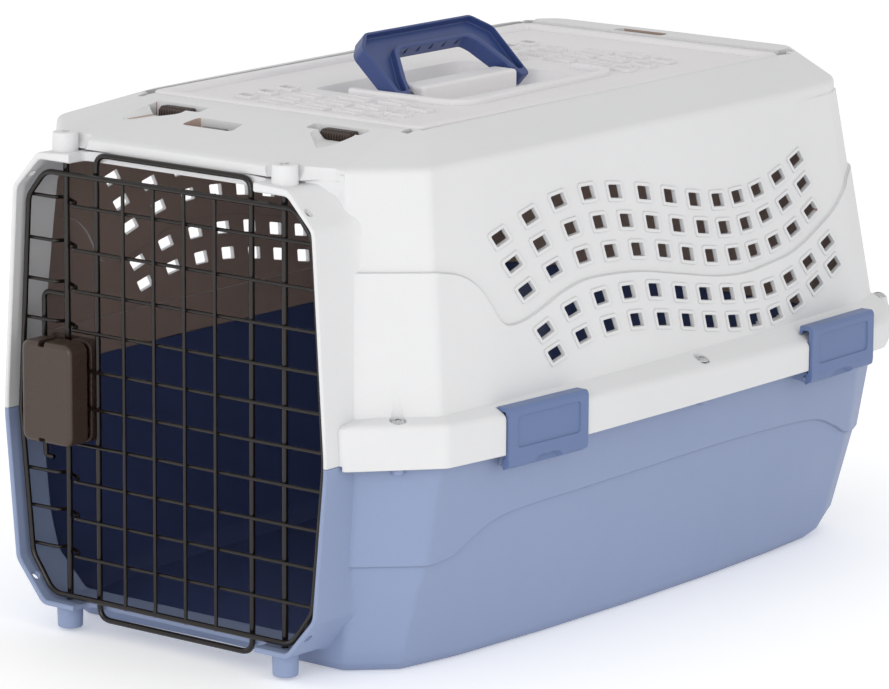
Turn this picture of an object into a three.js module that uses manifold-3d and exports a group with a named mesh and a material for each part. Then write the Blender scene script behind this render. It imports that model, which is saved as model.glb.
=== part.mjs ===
// Hard-shell pet carrier: two moulded half shells, a wire front door with a sprung latch,
// a top door that hinges on either long edge, a carry handle and four side clips.
// Millimetres, +Z up, floor at z = 0. +X is the right side, -Y the front. Pieces are drawn
// with y running back from the front lip (y = 0); the group is then shifted along Y so
// that the origin lies on the floor under the middle of the box.
import * as THREE from "three";
import { mergeVertices } from "three/addons/utils/BufferGeometryUtils.js";
import Module from "manifold-3d";

const wasm = await Module();
wasm.setup();

// ---------------------------------------------------------------- driving dimensions
const MIDDLE_Y = 290; // middle of the box
const WALL = 2.7; // moulded wall thickness
const PART_Z = 141; // butt joint in the mouth collar
const RIM_Z = 149.3; // lower edge of the upper shell's wall
const JOINT_GAP = 0.3; // between the two shells
const BOTTOM_TOP_Z = RIM_Z - JOINT_GAP;
const SKIRT_Z = 137.7; // lower edge of the upper shell's outer skirt
const EAVE_Z = 319; // top of the upright walls
const ROOF_Z = 333.5; // front of the roof flat
const COLLAR_D = 36; // depth of the mouth collar
const SHELF_LO = 19.4; // top of the lower lip shelf
const SHELF_HI = 306; // underside of the upper lip shelf

const ROD_X = 90.4; // hinge rod (right) and latch rods (left), from the centre plane
const HINGE_Y = 12.7;
const LATCH_Y = 13.4;
const ROD_R = 2;
const BOSS_R = 8.2;

const LID_HALF_X = 113.2; // top door
const LID_X = [-LID_HALF_X, LID_HALF_X];
const LID_Y = [116, 514];
const LID_MID_Y = (LID_Y[0] + LID_Y[1]) / 2;
const LID_TOP = 334.6;
const LID_AXIS_X = 109; // hinge rods of the top door
const LID_AXIS_Z = 329.6;
const LID_ROD_R = 1.6;
const THUMB_X = 68.5; // thumb pads of the front slide

const CLIP_HALF = 38; // half length of a side clip along the rim
const CLIP_Y = [150, 472];
const EAR_OFFSET = CLIP_HALF - 9; // socket ears, from the middle of a clip
const PIVOT_X = -7.2; // clip pivot, from the outer line of the rim
const PIVOT_Z = 130.6;

const HANDLE_X = 12; // carry handle pivots
const HANDLE_Y = 283;
const HANDLE_Z = 329.5;
const HANDLE_BORE_R = 2.15;
const HANDLE_LEAN = 47; // degrees from upright, towards -X

// Rim screws on each side: x, y, z of the seat.
const SCREWS = [[154.5, 43.5, 164.5], [183.5, 321, 161.5], [152, 575, 160.5]];

// ---------------------------------------------------------------- solids
// Points are [x, y, z]; a span is [low, high].
const DEG = Math.PI / 180;
const vec = ([x, y, z]) => new THREE.Vector3(x, y, z);
const around = (middle, half) => [middle - half, middle + half];
const shrink = ([low, high], t) => [low + t, high - t];
const eachSide = (make) => [-1, 1].map(make);
const join = (...solids) => solids.reduce((a, b) => a.add(b));
const cut = (body, ...tools) => tools.reduce((a, b) => a.subtract(b), body);

function solid(geometry) {
  for (const key of Object.keys(geometry.attributes))
    if (key !== "position") geometry.deleteAttribute(key);
  const merged = mergeVertices(geometry, 1e-4);
  return new wasm.Manifold(
    new wasm.Mesh({
      numProp: 3,
      vertProperties: new Float32Array(merged.attributes.position.array),
      triVerts: new Uint32Array(merged.index.array),
    }),
  );
}

function geometryOf(manifold) {
  const mesh = manifold.getMesh();
  const indexed = new THREE.BufferGeometry();
  indexed.setAttribute("position", new THREE.BufferAttribute(mesh.vertProperties, 3));
  indexed.setIndex(new THREE.BufferAttribute(mesh.triVerts, 1));
  const geometry = indexed.toNonIndexed();
  geometry.computeVertexNormals();
  return geometry;
}

function box([x0, x1], [y0, y1], [z0, z1]) {
  const geometry = new THREE.BoxGeometry(x1 - x0, y1 - y0, z1 - z0);
  return solid(geometry.translate((x0 + x1) / 2, (y0 + y1) / 2, (z0 + z1) / 2));
}

// A cylinder or cone from one point to another.
function rod(from, to, r, segments = 12, endR = r) {
  const start = vec(from);
  const along = vec(to).sub(start);
  const geometry = new THREE.CylinderGeometry(endR, r, along.length(), segments);
  const middle = start.add(vec(to)).multiplyScalar(0.5);
  geometry.applyQuaternion(
    new THREE.Quaternion().setFromUnitVectors(vec([0, 1, 0]), along.normalize()),
  );
  return solid(geometry.translate(middle.x, middle.y, middle.z));
}
const rodAlongY = (x, z, [y0, y1], ...rest) => rod([x, y0, z], [x, y1, z], ...rest);
const rodAlongZ = (x, y, [z0, z1], ...rest) => rod([x, y, z0], [x, y, z1], ...rest);

// A prism along an axis. The outline is (y, z) for "x", (x, z) for "y", (x, y) for "z".
function prism(axis, outline, [low, high]) {
  const points = outline.map(([u, v]) => new THREE.Vector2(u, v));
  if (THREE.ShapeUtils.isClockWise(points)) points.reverse();
  const geometry = new THREE.ExtrudeGeometry(new THREE.Shape(points), {
    depth: high - low,
    bevelEnabled: false,
    steps: 1,
  });
  geometry.translate(0, 0, low);
  const turn = new THREE.Matrix4();
  if (axis === "x") turn.set(0, 0, 1, 0, 1, 0, 0, 0, 0, 1, 0, 0, 0, 0, 0, 1);
  if (axis === "y") turn.set(1, 0, 0, 0, 0, 0, 1, 0, 0, 1, 0, 0, 0, 0, 0, 1);
  geometry.applyMatrix4(turn);
  if (axis === "y") reverseFaces(geometry); // this matrix mirrors
  return solid(geometry);
}

function reverseFaces(geometry) {
  const a = geometry.attributes.position.array;
  for (let i = 0; i < a.length; i += 9)
    for (let k = 0; k < 3; k++) [a[i + 3 + k], a[i + 6 + k]] = [a[i + 6 + k], a[i + 3 + k]];
}

function chamferedRect([x0, x1], [y0, y1], c) {
  return [
    [x0 + c, y0], [x1 - c, y0], [x1, y0 + c], [x1, y1 - c],
    [x1 - c, y1], [x0 + c, y1], [x0, y1 - c], [x0, y0 + c],
  ];
}
const rectRing = ([x0, x1], [y0, y1], z) => [[x0, y0, z], [x1, y0, z], [x1, y1, z], [x0, y1, z]];

// Builds a solid from triangles of one winding, turned so that they face outwards.
function outwardSolid(positions, triangles) {
  const build = (index) => {
    const geometry = new THREE.BufferGeometry();
    geometry.setAttribute("position", new THREE.Float32BufferAttribute(positions, 3));
    geometry.setIndex(index);
    return solid(geometry);
  };
  const first = build(triangles);
  return first.volume() > 0 ? first : build(triangles.slice().reverse());
}

// A flat ring's triangles, found in the plane of the ring.
function capTriangles(ring) {
  const points = ring.map(vec);
  const normal = vec([0, 0, 0]);
  points.forEach((p, i) => {
    const q = points[(i + 1) % points.length];
    normal.x += (p.y - q.y) * (p.z + q.z);
    normal.y += (p.z - q.z) * (p.x + q.x);
    normal.z += (p.x - q.x) * (p.y + q.y);
  });
  normal.normalize();
  const helper = Math.abs(normal.z) < 0.9 ? vec([0, 0, 1]) : vec([1, 0, 0]);
  const u = helper.cross(normal).normalize();
  const v = normal.clone().cross(u);
  const flat = points.map((p) => new THREE.Vector2(p.dot(u), p.dot(v)));
  return THREE.ShapeUtils.triangulateShape(flat, []);
}

// A solid through rings of equally many points, with flat ends or closed on itself.
function loft(rings, closed = false) {
  const n = rings[0].length;
  const count = rings.length;
  const triangles = [];
  for (let k = 0; k < (closed ? count : count - 1); k++)
    for (let i = 0; i < n; i++) {
      const next = ((k + 1) % count) * n;
      const j = (i + 1) % n;
      triangles.push(k * n + i, k * n + j, next + j, k * n + i, next + j, next + i);
    }
  if (!closed) {
    const last = (count - 1) * n;
    for (const [a, b, c] of capTriangles(rings[0])) triangles.push(a, c, b);
    for (const [a, b, c] of capTriangles(rings[count - 1]))
      triangles.push(last + a, last + b, last + c);
  }
  return outwardSolid(rings.flat(2), triangles);
}

// Round wire along a polyline with mitred bends; closed joins its ends.
function wire(path, r, segments = 6, closed = false) {
  const points = path.map(vec);
  const m = points.length;
  const direction = (i) => points[(i + 1) % m].clone().sub(points[i]).normalize();
  let ref = null;
  const rings = points.map((point, i) => {
    const before = i > 0 || closed ? direction((i - 1 + m) % m) : direction(i);
    const after = i < m - 1 || closed ? direction(i) : before;
    const mitre = before.clone().add(after).normalize();
    ref ??= Math.abs(before.y) < 0.9 ? vec([0, 1, 0]) : vec([1, 0, 0]);
    ref.addScaledVector(before, -ref.dot(before)).normalize();
    const side = before.clone().cross(ref);
    const ring = [];
    for (let k = 0; k < segments; k++) {
      const angle = ((k + 0.5) / segments) * 2 * Math.PI;
      const q = ref.clone().multiplyScalar(Math.cos(angle) * r);
      q.addScaledVector(side, Math.sin(angle) * r);
      // slide along the incoming direction on to the mitre plane
      const slide = -q.dot(mitre) / before.dot(mitre);
      ring.push(point.clone().add(q).addScaledVector(before, slide).toArray());
    }
    return ring;
  });
  return loft(rings, closed);
}

// ---------------------------------------------------------------- outlines
// Right halves of plan sections, front middle to rear middle: x, y at each height z.
const SECTIONS = [
  { z: 0, half: [
    [0, 50], [108, 48], [133, 73], [141, 120], [146, 200], [148, 290],
    [147, 380], [143, 460], [138, 512], [122, 540], [96, 551], [0, 553],
  ] },
  { z: 6, half: [
    [0, 43], [113, 42], [139, 68], [148, 120], [152, 200], [154, 290],
    [153, 380], [150, 460], [145, 515], [129, 547], [101, 558], [0, 560],
  ] },
  { z: 16, half: [
    [0, 37], [117, 38], [143, 64], [151.5, 120], [155.5, 200], [157.5, 290],
    [156.5, 380], [153.5, 460], [149, 518], [134, 551], [106, 561], [0, 563],
  ] },
  { z: 70, half: [
    [0, 30], [128, 29.5], [161, 62.5], [164, 120], [167, 200], [168, 290],
    [167, 380], [165, 460], [162, 522], [147, 556], [122, 566], [0, 568],
  ] },
  { z: 137, half: [
    [0, 29], [133.5, 28.5], [170.5, 65], [173.5, 120], [175.5, 200], [176, 290],
    [175, 380], [173, 460], [170, 525], [157, 561], [132, 570], [0, 572],
  ] },
  { z: 165, half: [
    [0, 29], [132, 28.5], [169.5, 65.5], [172.5, 120], [174.5, 200], [175, 290],
    [174, 380], [171.5, 460], [168.5, 525], [156, 559], [131, 568], [0, 570],
  ] },
  { z: EAVE_Z, half: [
    [0, 36.5], [118, 36.5], [154, 74], [157, 120], [160, 200], [161, 290],
    [160, 380], [156, 460], [151, 512], [141, 532], [116, 543], [0, 547],
  ] },
];
const EAVE_SECTION = SECTIONS[SECTIONS.length - 1].half;

// Eave: runs forward over the collar as a hood, and rises where the walls bow outwards.
const EAVE = [[0, 3.5], [80, 4], [117.5, 39], ...EAVE_SECTION.slice(2)].map(([x, y]) => [
  x, y, EAVE_Z + (x > 155 ? (x - 155) * 0.28 : 0),
]);
// Edge of the roof flat: x, y, z.
const FLAT = [
  [0, 104, ROOF_Z], [83, 104, ROOF_Z], [100, 106, ROOF_Z], [117, 114, ROOF_Z],
  [119, 130, 333.8], [120.5, 200, 334.6], [121.5, 290, 335], [121, 380, 335.3],
  [119.5, 460, 335.5], [117.5, 508, 335.6], [110, 526, 335.7], [95, 535, 335.7],
  [0, 537, 335.7],
];
// Outer line of the rim skirt: x, y; and the height of its top edge at each point.
const SKIRT = [
  [0, 40], [122, 22], [134.4, 9], [180, 61], [186, 112], [191, 198], [192.3, 290],
  [192, 380], [191.5, 460], [189.5, 528], [162, 580], [134, 588], [0, 588],
];
const LEDGE_Z = [166, 166, 166, 165, 163, 161.5, 160, 158, 156, 155.5, 155.5, 155.5, 155.5];

// Mouth collar in front view, right half from bottom to top: x, z.
const COLLAR_OUT = [
  [0, 16], [103, 16], [125.5, 43], [134.5, PART_Z], [124.6, 287], [103.5, 310.5], [0, 316],
];
const COLLAR_IN = [
  [0, SHELF_LO], [101.2, SHELF_LO], [122.2, 44], [131.2, PART_Z], [121.4, 286],
  [102, SHELF_HI], [0, SHELF_HI],
];

// Lines in side view (y, z): the walls stand proud from STEP up to WAVE.
const WAVE = [
  [-20, 258], [71, 256], [93, 251], [108, 242], [118, 230], [126, 219], [135, 214],
  [151, 215], [169, 220], [190, 227], [214, 231], [245, 230], [274, 227], [321, 218],
  [353, 212], [386, 209], [420, 211], [445, 214], [476, 224], [504, 236], [526, 252],
  [560, 262], [620, 262],
];
const STEP = [
  [-20, 74], [70, 73.5], [86, 76], [103, 85], [120, 92], [145, 95.5], [200, 97], [330, 99],
  [400, 98.5], [470, 95], [500, 86], [518, 77.5], [540, 74], [620, 74],
];

// Completes a right half with its mirror image.
function closeAcross(half) {
  const left = half.filter(([x]) => x > 1e-6).map(([x, ...rest]) => [-x, ...rest]);
  return [...half, ...left.reverse()];
}
// Ring from a right half; z is for halves that have no heights of their own.
const ring = (half, z) => closeAcross(half.map((p) => [p[0], p[1], p[2] ?? z]));

// Moves a half section inwards by t.
function inset(half, t) {
  const full = closeAcross(half);
  const n = full.length;
  return half.map(([x, y], i) => {
    const [ax, ay] = full[(i - 1 + n) % n];
    const [bx, by] = full[(i + 1) % n];
    const d1 = new THREE.Vector2(x - ax, y - ay).normalize();
    const d2 = new THREE.Vector2(bx - x, by - y).normalize();
    const normals = new THREE.Vector2(-d1.y - d2.y, d1.x + d2.x);
    const k = (2 * t) / normals.lengthSq();
    return [x < 1e-6 ? 0 : x + normals.x * k, y + normals.y * k];
  });
}

const blend = (from, to, k) =>
  from.map(([x, y], i) => [x + (to[i][0] - x) * k, y + (to[i][1] - y) * k]);

// Right half of the plan section at a height.
function section(z) {
  const i = SECTIONS.findIndex((s, k) => k > 0 && z <= s.z);
  const below = SECTIONS[i - 1];
  const above = SECTIONS[i];
  return blend(below.half, above.half, (z - below.z) / (above.z - below.z));
}
const planRing = (z, t = 0) => ring(inset(section(z), t), z);

// First coordinate of an outline where its second has the given value.
function outlineAt(outline, value) {
  const i = outline.findIndex(([, v], k) => v <= value && value <= outline[k + 1]?.[1]);
  const [a, b] = [outline[i], outline[i + 1]];
  return a[0] + ((b[0] - a[0]) * (value - a[1])) / (b[1] - a[1]);
}

// ---------------------------------------------------------------- shared by the shells
const collarLoft = (half, y0, y1) =>
  loft([y0, y1].map((y) => closeAcross(half.map(([x, z]) => [x, y, z]))));
const collarOuter = collarLoft(COLLAR_OUT, 0, COLLAR_D + 8);
const collarInner = collarLoft(COLLAR_IN, -5, COLLAR_D + 14);
const slab = (z0, z1) => box([-260, 260], [-60, 660], [z0, z1]);

// Bosses and bores for the door's rods. The middle of the lip is set back,
// so that the door's loop wire can close against it.
function finishLip(shell, { boss, recess, bore }) {
  const bosses = eachSide((k) => rodAlongZ(k * ROD_X, HINGE_Y + 0.2, boss, BOSS_R, 20));
  return cut(
    join(shell, ...bosses),
    box([-76, 76], [-5, 15.2], recess),
    rodAlongZ(-ROD_X, LATCH_Y, bore, ROD_R + 0.6),
    rodAlongZ(ROD_X, HINGE_Y, bore, ROD_R + 0.6),
  );
}

// Tie holes through the collar's corners, between two (x, z) points.
const tieHoles = ([x0, z0], [x1, z1]) =>
  eachSide((k) => rod([k * x0, 5.5, z0], [k * x1, 5.5, z1], 3, 8));

// Frame of a side clip: its place on the bowed rim and the rim's turn there.
function clipFrame(y) {
  const rimX = (at) => outlineAt(SKIRT, at);
  const slope = (rimX(y + 36) - rimX(y - 36)) / 72;
  return { x: (rimX(y + 20) + rimX(y - 20)) / 2, y, angle: Math.atan(slope) };
}
const CLIP_FRAMES = CLIP_Y.map(clipFrame);

// Puts a solid in a clip's frame, where x is measured outwards from the rim's outer line.
function place(body, { x, y, angle }, side) {
  const matrix = new THREE.Matrix4().makeRotationZ(-angle).setPosition(x, y, 0);
  const right = body.transform(matrix.toArray());
  return side > 0 ? right : right.mirror([1, 0, 0]);
}

// ---------------------------------------------------------------- bottom shell
function bottomCavity() {
  return loft([
    ring(inset(section(6), WALL + 5), 3),
    planRing(8, WALL + 2),
    ...[16, 70, 137, 152].map((z) => planRing(z, WALL)),
  ]);
}

function bottomWalls() {
  const proud = loft([70, 137, 149].map((z) => planRing(z, -2.2)));
  const aboveStep = prism("x", [...STEP, [620, 149], [-20, 149]], [-220, 220]);
  const rim = inset(SKIRT, 4.2); // tucks inside the upper shell's skirt
  return join(
    loft([0, 6, 16, 70, 137, 149].map((z) => planRing(z))),
    proud.intersect(aboveStep),
    collarOuter.intersect(slab(0, PART_Z)),
    loft([ring(rim, 145), ring(rim, BOTTOM_TOP_Z)]),
  );
}

// Ear with a rounded nose about the clip's pivot, centred on y.
function clipEar(y) {
  const noseR = 3.5;
  const nose = [60, 30, 0, -30, -60, -90, -120, -140].map((a) => [
    PIVOT_X + noseR * Math.cos(a * DEG), PIVOT_Z + noseR * Math.sin(a * DEG),
  ]);
  const root = [[PIVOT_X - 17, 129.6], [PIVOT_X - 17, 145.4], [PIVOT_X + 1, 145.4]];
  return prism("y", [...root, ...nose], around(y, 3));
}

// Two ears and a pin bore for each side clip.
function addClipSockets(shell, cavity) {
  let s = shell;
  for (const side of [-1, 1])
    for (const frame of CLIP_FRAMES) {
      const ears = eachSide((k) => place(clipEar(k * EAR_OFFSET), frame, side).subtract(cavity));
      const pinBore = rodAlongY(PIVOT_X, PIVOT_Z, [-60, 60], 1.8);
      s = cut(join(s, ...ears), place(pinBore, frame, side));
    }
  return s;
}

function bottomShell() {
  const cavity = bottomCavity();
  let s = cut(bottomWalls(), cavity, collarInner);
  s = cut(s, box([-137, 137], [-10, 34], [PART_Z, 160]));
  s = finishLip(s, { boss: [1.5, 18], recess: [0, 30], bore: [5, 30] });
  s = addClipSockets(s, cavity);
  for (const [x, y] of SCREWS)
    for (const k of [-1, 1]) {
      s = join(s, rodAlongZ(k * x, y, [134, 147], 4.2, 14));
      s = cut(s, rodAlongZ(k * x, y, [136.5, 152], 2.15, 10));
    }
  return cut(s, ...tieHoles([106, 42], [120, 24]), slab(BOTTOM_TOP_Z, 400));
}

// ---------------------------------------------------------------- top shell
// Vents: 5 rows of 13 sheared holes that follow a wave. Middles: y, z.
const VENT_ROWS = [
  [
    [133, 269], [163, 278], [192, 284], [222, 285], [250, 282], [280, 277], [308, 271],
    [335, 265], [361, 261], [384, 260], [408, 261], [434, 266], [458, 274],
  ],
  [
    [144, 251], [172, 260], [203, 265], [232, 265], [260, 262], [287, 257], [315, 251],
    [342, 246], [367, 242], [392, 241], [416, 243], [441, 248], [465, 257],
  ],
  [
    [155, 233], [183, 242], [213, 246], [242, 245], [270, 242], [298, 237], [324, 231],
    [350, 226], [376, 223], [400, 222], [425, 224], [449, 229], [472, 238],
  ],
  [
    [168, 206], [196, 215], [226, 218], [255, 217], [283, 214], [311, 208], [338, 203],
    [364, 199], [389, 196], [413, 195], [438, 198], [463, 205], [488, 214],
  ],
  [
    [177, 190], [205, 197], [234, 199], [262, 198], [290, 194], [317, 189], [343, 184],
    [369, 180], [394, 177], [419, 177], [444, 181], [470, 189], [494, 198],
  ],
];

// Parallelogram (y, z) with one pair of edges along the row's slope.
function ventOutline([y, z], i, row) {
  const before = row[Math.max(0, i - 1)];
  const after = row[Math.min(row.length - 1, i + 1)];
  const slope = (after[1] - before[1]) / (after[0] - before[0]);
  const [alongY, alongZ] = [6.3, 6.3 * slope];
  const [acrossY, acrossZ] = [-1.6 - 4 * slope, 4.45 - 2.4 * Math.max(0, slope)];
  return [
    [y - alongY - acrossY, z - alongZ - acrossZ],
    [y + alongY - acrossY, z + alongZ - acrossZ],
    [y + alongY + acrossY, z + alongZ + acrossZ],
    [y - alongY + acrossY, z - alongZ + acrossZ],
  ];
}

// Skirt round the rim, with a sloping ledge up to the wall.
function rimSkirt() {
  const wall = inset(section(169), 1);
  const ledgeFront = wall.slice(1, 3).map(([x, y]) => [x - 18, y - 14]);
  return cut(
    loft([
      ring(SKIRT, SKIRT_Z),
      ring(SKIRT.map(([x, y], i) => [x, y, LEDGE_Z[i]])),
      ring([[0, 36], ...ledgeFront, ...wall.slice(2)], 169.5),
    ]),
    box([-131, 131], [-20, 60], [100, 200]),
    box([-136, 136], [-20, 34], [100, PART_Z + JOINT_GAP]),
  );
}

// Space inside the skirt for the bottom shell's rim; the collar is kept.
function rimSpace() {
  const inner = inset(SKIRT, WALL);
  const collar = box([-134.6, 134.6], [-20, 30], [PART_Z + JOINT_GAP, 170]);
  return loft([ring(inner, SKIRT_Z - 2), ring(inner, RIM_Z + 0.2)]).subtract(collar);
}

// The hood in front of the top door is left solid.
function topCavity() {
  const eave = inset(EAVE_SECTION, WALL + 0.5);
  const room = join(
    loft([planRing(140, WALL), planRing(165, WALL), planRing(EAVE_Z - 2, WALL + 0.5)]),
    loft([
      ring(eave, EAVE_Z - 4),
      ring(blend(eave, inset(EAVE_SECTION, 24), 0.9), ROOF_Z - 6),
    ]),
  );
  return room.subtract(box([-200, 200], [-20, 111], [317.5, 360]));
}

function topWalls() {
  const proud = loft([RIM_Z, 165, 300].map((z) => planRing(z, -2)));
  const belowWave = prism("x", [[-20, RIM_Z], ...WAVE, [620, RIM_Z]], [-220, 220]);
  return join(
    loft([RIM_Z, 165, EAVE_Z].map((z) => planRing(z))),
    proud.intersect(belowWave),
    loft([ring(EAVE.map(([x, y, z]) => [x, y, z - 7])), ring(EAVE), ring(FLAT)]),
    collarOuter.intersect(slab(PART_Z + JOINT_GAP, 400)),
    rimSkirt(),
  );
}

// Opening for the top door, sockets for its hinge rods (open upwards), and a bar across
// the front and the rear of the opening.
function addLidOpening(shell) {
  let s = cut(shell, box(around(0, LID_HALF_X + 2), shrink(LID_Y, -1.5), [300, 360]));
  const socketZ = [LID_AXIS_Z - 3, 360];
  for (const x of [-LID_AXIS_X, LID_AXIS_X])
    s = cut(
      s,
      box(around(x, 3), [LID_Y[0] - 11, LID_Y[0] + 1], socketZ),
      box(around(x, 3), [LID_Y[1] - 1, LID_Y[1] + 11], socketZ),
    );
  const [gap, thickness] = [1.2, 3];
  const bar = (y) => box(shrink(LID_X, 12), [y, y + thickness], [320.5, 330]);
  return join(s, bar(LID_Y[0] - gap - thickness), bar(LID_Y[1] + gap));
}

// Slots through the roof for the slides, with thumb scoops in front.
function cutSlideSlots(shell) {
  let s = cut(
    shell,
    prism("z", [[-36, 78], [1, 78], [5, 62], [-37, 62]], [319, 345]),
    box([-37, 5], [LID_Y[1] + 3.4, LID_Y[1] + 13.4], [319, 345]),
  );
  const scoop = loft([
    [[80, 57, 322.6], [85, 67, 322.8], [83, 87.5, 323.2], [63, 87.5, 323.2], [62, 80, 323]],
    [[83.5, 45, 342], [94, 66, 342], [91, 88, 342], [53, 88, 342], [52, 82, 342]],
  ]);
  for (const k of [-1, 1])
    s = cut(
      s,
      k > 0 ? scoop : scoop.mirror([1, 0, 0]),
      box(around(k * THUMB_X, 24.5), [86.8, 98.2], [316, 345]),
    );
  return s;
}

function cutClipNotches(shell) {
  const y = around(0, CLIP_HALF + 0.8);
  let s = shell;
  for (const side of [-1, 1])
    for (const frame of CLIP_FRAMES)
      s = cut(
        s,
        place(box([-2.6, 30], y, [120, 200]), frame, side),
        place(box([-9.4, 30], y, [161.2, 200]), frame, side),
      );
  return s;
}

// Bores and seats for the rim screws; the rear pair also has bosses.
function addScrewSeats(shell) {
  let s = shell;
  for (const [x, y, seat] of SCREWS)
    for (const k of [-1, 1]) {
      if (y > 400) s = join(s, rodAlongZ(k * x, y, [seat - 7, seat + 1.2], 7, 20, 6.2));
      s = cut(
        s,
        rodAlongZ(k * x, y, [130, 190], 2.3, 10),
        rodAlongZ(k * x, y, [seat, 190], 5.2, 16),
      );
    }
  return s;
}

function topShell() {
  let s = cut(topWalls(), rimSpace(), topCavity(), collarInner);
  // channels under the roof for the front slide and its thumb pads
  s = cut(s, box([-101, 101], [62, 75], [314, 320]));
  s = cut(s, ...eachSide((k) => box(around(k * THUMB_X, 24.5), [74, 99], [314, 320])));
  s = finishLip(s, { boss: [308, 323.5], recess: [300, 330], bore: [300, 340] });
  s = cutSlideSlots(addLidOpening(s));
  for (const row of VENT_ROWS) s = cut(s, ...row.map(ventOutline).map(ventHole));
  s = addScrewSeats(cutClipNotches(s));
  return cut(s, ...tieHoles([107, 286], [121, 305]));
}
function ventHole(outline) {
  return prism("x", outline, [-230, 230]); // through both sides
}

// ---------------------------------------------------------------- front door
// Closed frame wire in front view: x, z.
const FRAME = [
  [-100, 23.5], [100, 23.5], [117, 47], [126, 141], [117.5, 280],
  [103, 297.5], [-103, 297.5], [-117.5, 280], [-126, 141], [-117, 47],
];
const FRAME_RIGHT = FRAME.slice(1, 6);
const FRAME_Y = 7.6;
const BARS_Z = [277, 249, 222.6, 197, 172.2, 148, 123.5, 98.4, 74, 49.3]; // level bars
const BAR_Y = 9.9;
const BAR_R = 1.2;
const BAR_RISE = 4; // of a level bar's left end
const UPRIGHTS_X = [-37.95, -12.65, 12.65, 37.95];
const UPRIGHT_Y = 7.95;

// Latch housing
const HOUSING_X = [-111.5, -69];
const HOUSING_Z = [125, 191];
const POSTS = [[-77, 136], [-77, 184], [-101, 186.6]]; // screw posts: x, z

// A level bar. It jogs behind the latch rods, except where the housing covers it.
function levelBar(z) {
  const endX = (at) => outlineAt(FRAME_RIGHT, at) + 0.4;
  const right = [endX(z), BAR_Y, z];
  const covered = z + BAR_RISE > HOUSING_Z[0] && z < HOUSING_Z[1];
  if (covered) return wire([right, [-endX(z), BAR_Y, z]], BAR_R);
  const jogY = LATCH_Y + 3.7;
  const leftZ = z + BAR_RISE;
  return wire([
    right, [-83.6, BAR_Y, z], [-85.4, jogY, z + 0.6],
    [-95.4, jogY, z + 3.4], [-97.2, BAR_Y, leftZ], [-endX(leftZ), BAR_Y, leftZ],
  ], BAR_R);
}

// Upright loop behind the bars; each corner bends in two steps.
function loopWire() {
  const [x, y, low, high] = [64, HINGE_Y - 0.3, 11, 311.5];
  const corner = 9; // from the corner to the ends of its bend
  const mid = 3; // from the corner to the middle of its bend
  return wire([
    [-x + corner, y, low], [x - corner, y, low], [x - mid, y, low + mid],
    [x, y, low + corner], [x, y, high - corner], [x - mid, y, high - mid],
    [x - corner, y, high], [-x + corner, y, high], [-x + mid, y, high - mid],
    [-x, y, high - corner], [-x, y, low + corner], [-x + mid, y, low + mid],
  ], 1.9, 8, true);
}

function frontGrille() {
  return join(
    wire(FRAME.map(([x, z]) => [x, FRAME_Y, z]), 1.8, 8, true),
    ...UPRIGHTS_X.map((x) => wire([[x, UPRIGHT_Y, 22.6], [x, UPRIGHT_Y, 298.2]], 1.25)),
    ...BARS_Z.map(levelBar),
    loopWire(),
    wire([[ROD_X, HINGE_Y, 6.5], [ROD_X, HINGE_Y, 320]], ROD_R, 12),
  );
}

// Housing in front of the bars, open at its back.
function latchHousing() {
  const wall = 2.4;
  const inside = chamferedRect(shrink(HOUSING_X, wall), shrink(HOUSING_Z, wall), 4);
  let s = prism("y", chamferedRect(HOUSING_X, HOUSING_Z, 5), [-8, 5.3]);
  s = cut(s, prism("y", inside, [-5.6, 9]));
  // finger notches in the top and bottom edges
  s = cut(s, ...HOUSING_Z.map((z) => box([-98, -86], [-20, 9], around(z, 2))));
  for (const [x, z] of POSTS) {
    s = join(s, rodAlongY(x, z, [-6.5, 5.3], 3.6));
    s = cut(s, rodAlongY(x, z, [-3, 8], 1.35, 10));
  }
  return s;
}

// Plate behind the bars, with posts that reach forward to the housing.
function latchPlate() {
  const outline = chamferedRect(shrink(HOUSING_X, -3), shrink(HOUSING_Z, -2), 5);
  let s = prism("y", outline, [18.8, 21.4]);
  for (const [x, z] of POSTS) {
    s = join(s, rodAlongY(x, z, [5.7, 20], 2.6));
    s = cut(s, rodAlongY(x, z, [0, 30], 1.35, 10), rodAlongY(x, z, [20.2, 30], 2.4, 10));
  }
  return s;
}

// Driven from behind, through the plate's posts into the housing.
const latchScrew = ([x, z]) =>
  join(rodAlongY(x, z, [-2.5, 20.8], 1.1, 8), rodAlongY(x, z, [20.5, 22.2], 2.1, 10));

// A latch rod with a thinner side wire; the side wire is given as (x, z) points.
function latchRod([z0, z1], sideWire) {
  return join(
    wire([[-ROD_X, LATCH_Y, z0], [-ROD_X, LATCH_Y, z1]], ROD_R, 10),
    wire(sideWire.map(([x, z]) => [x, LATCH_Y, z]), 1.7, 8),
  );
}
const SIDE_WIRE_X = -ROD_X - 0.5; // where a side wire meets its rod
const latchRodUpper = () =>
  latchRod([176, 317.5], [
    [SIDE_WIRE_X, 178], [-107.5, 178], [-110.5, 181],
    [-110.5, 215.5], [-107.5, 218.5], [SIDE_WIRE_X, 218.5],
  ]);
const latchRodLower = () =>
  latchRod([10.5, 141], [
    [SIDE_WIRE_X, 139], [-107.5, 139], [-110.5, 136],
    [-110.5, 113.5], [-108.4, 111], [-104.5, 111],
  ]);

function latchSpring() {
  const [x, y, coilR] = [-100.5, 14.6, 2.5];
  const [z0, z1] = [142, 175.2];
  const perTurn = 8;
  const steps = 6 * perTurn;
  const path = [];
  for (let i = 0; i <= steps; i++) {
    const angle = (i / perTurn) * 2 * Math.PI;
    const z = z0 + ((z1 - z0) * i) / steps;
    path.push([x + coilR * Math.cos(angle), y + coilR * Math.sin(angle), z]);
  }
  return wire(path, 0.5, 4);
}

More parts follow.
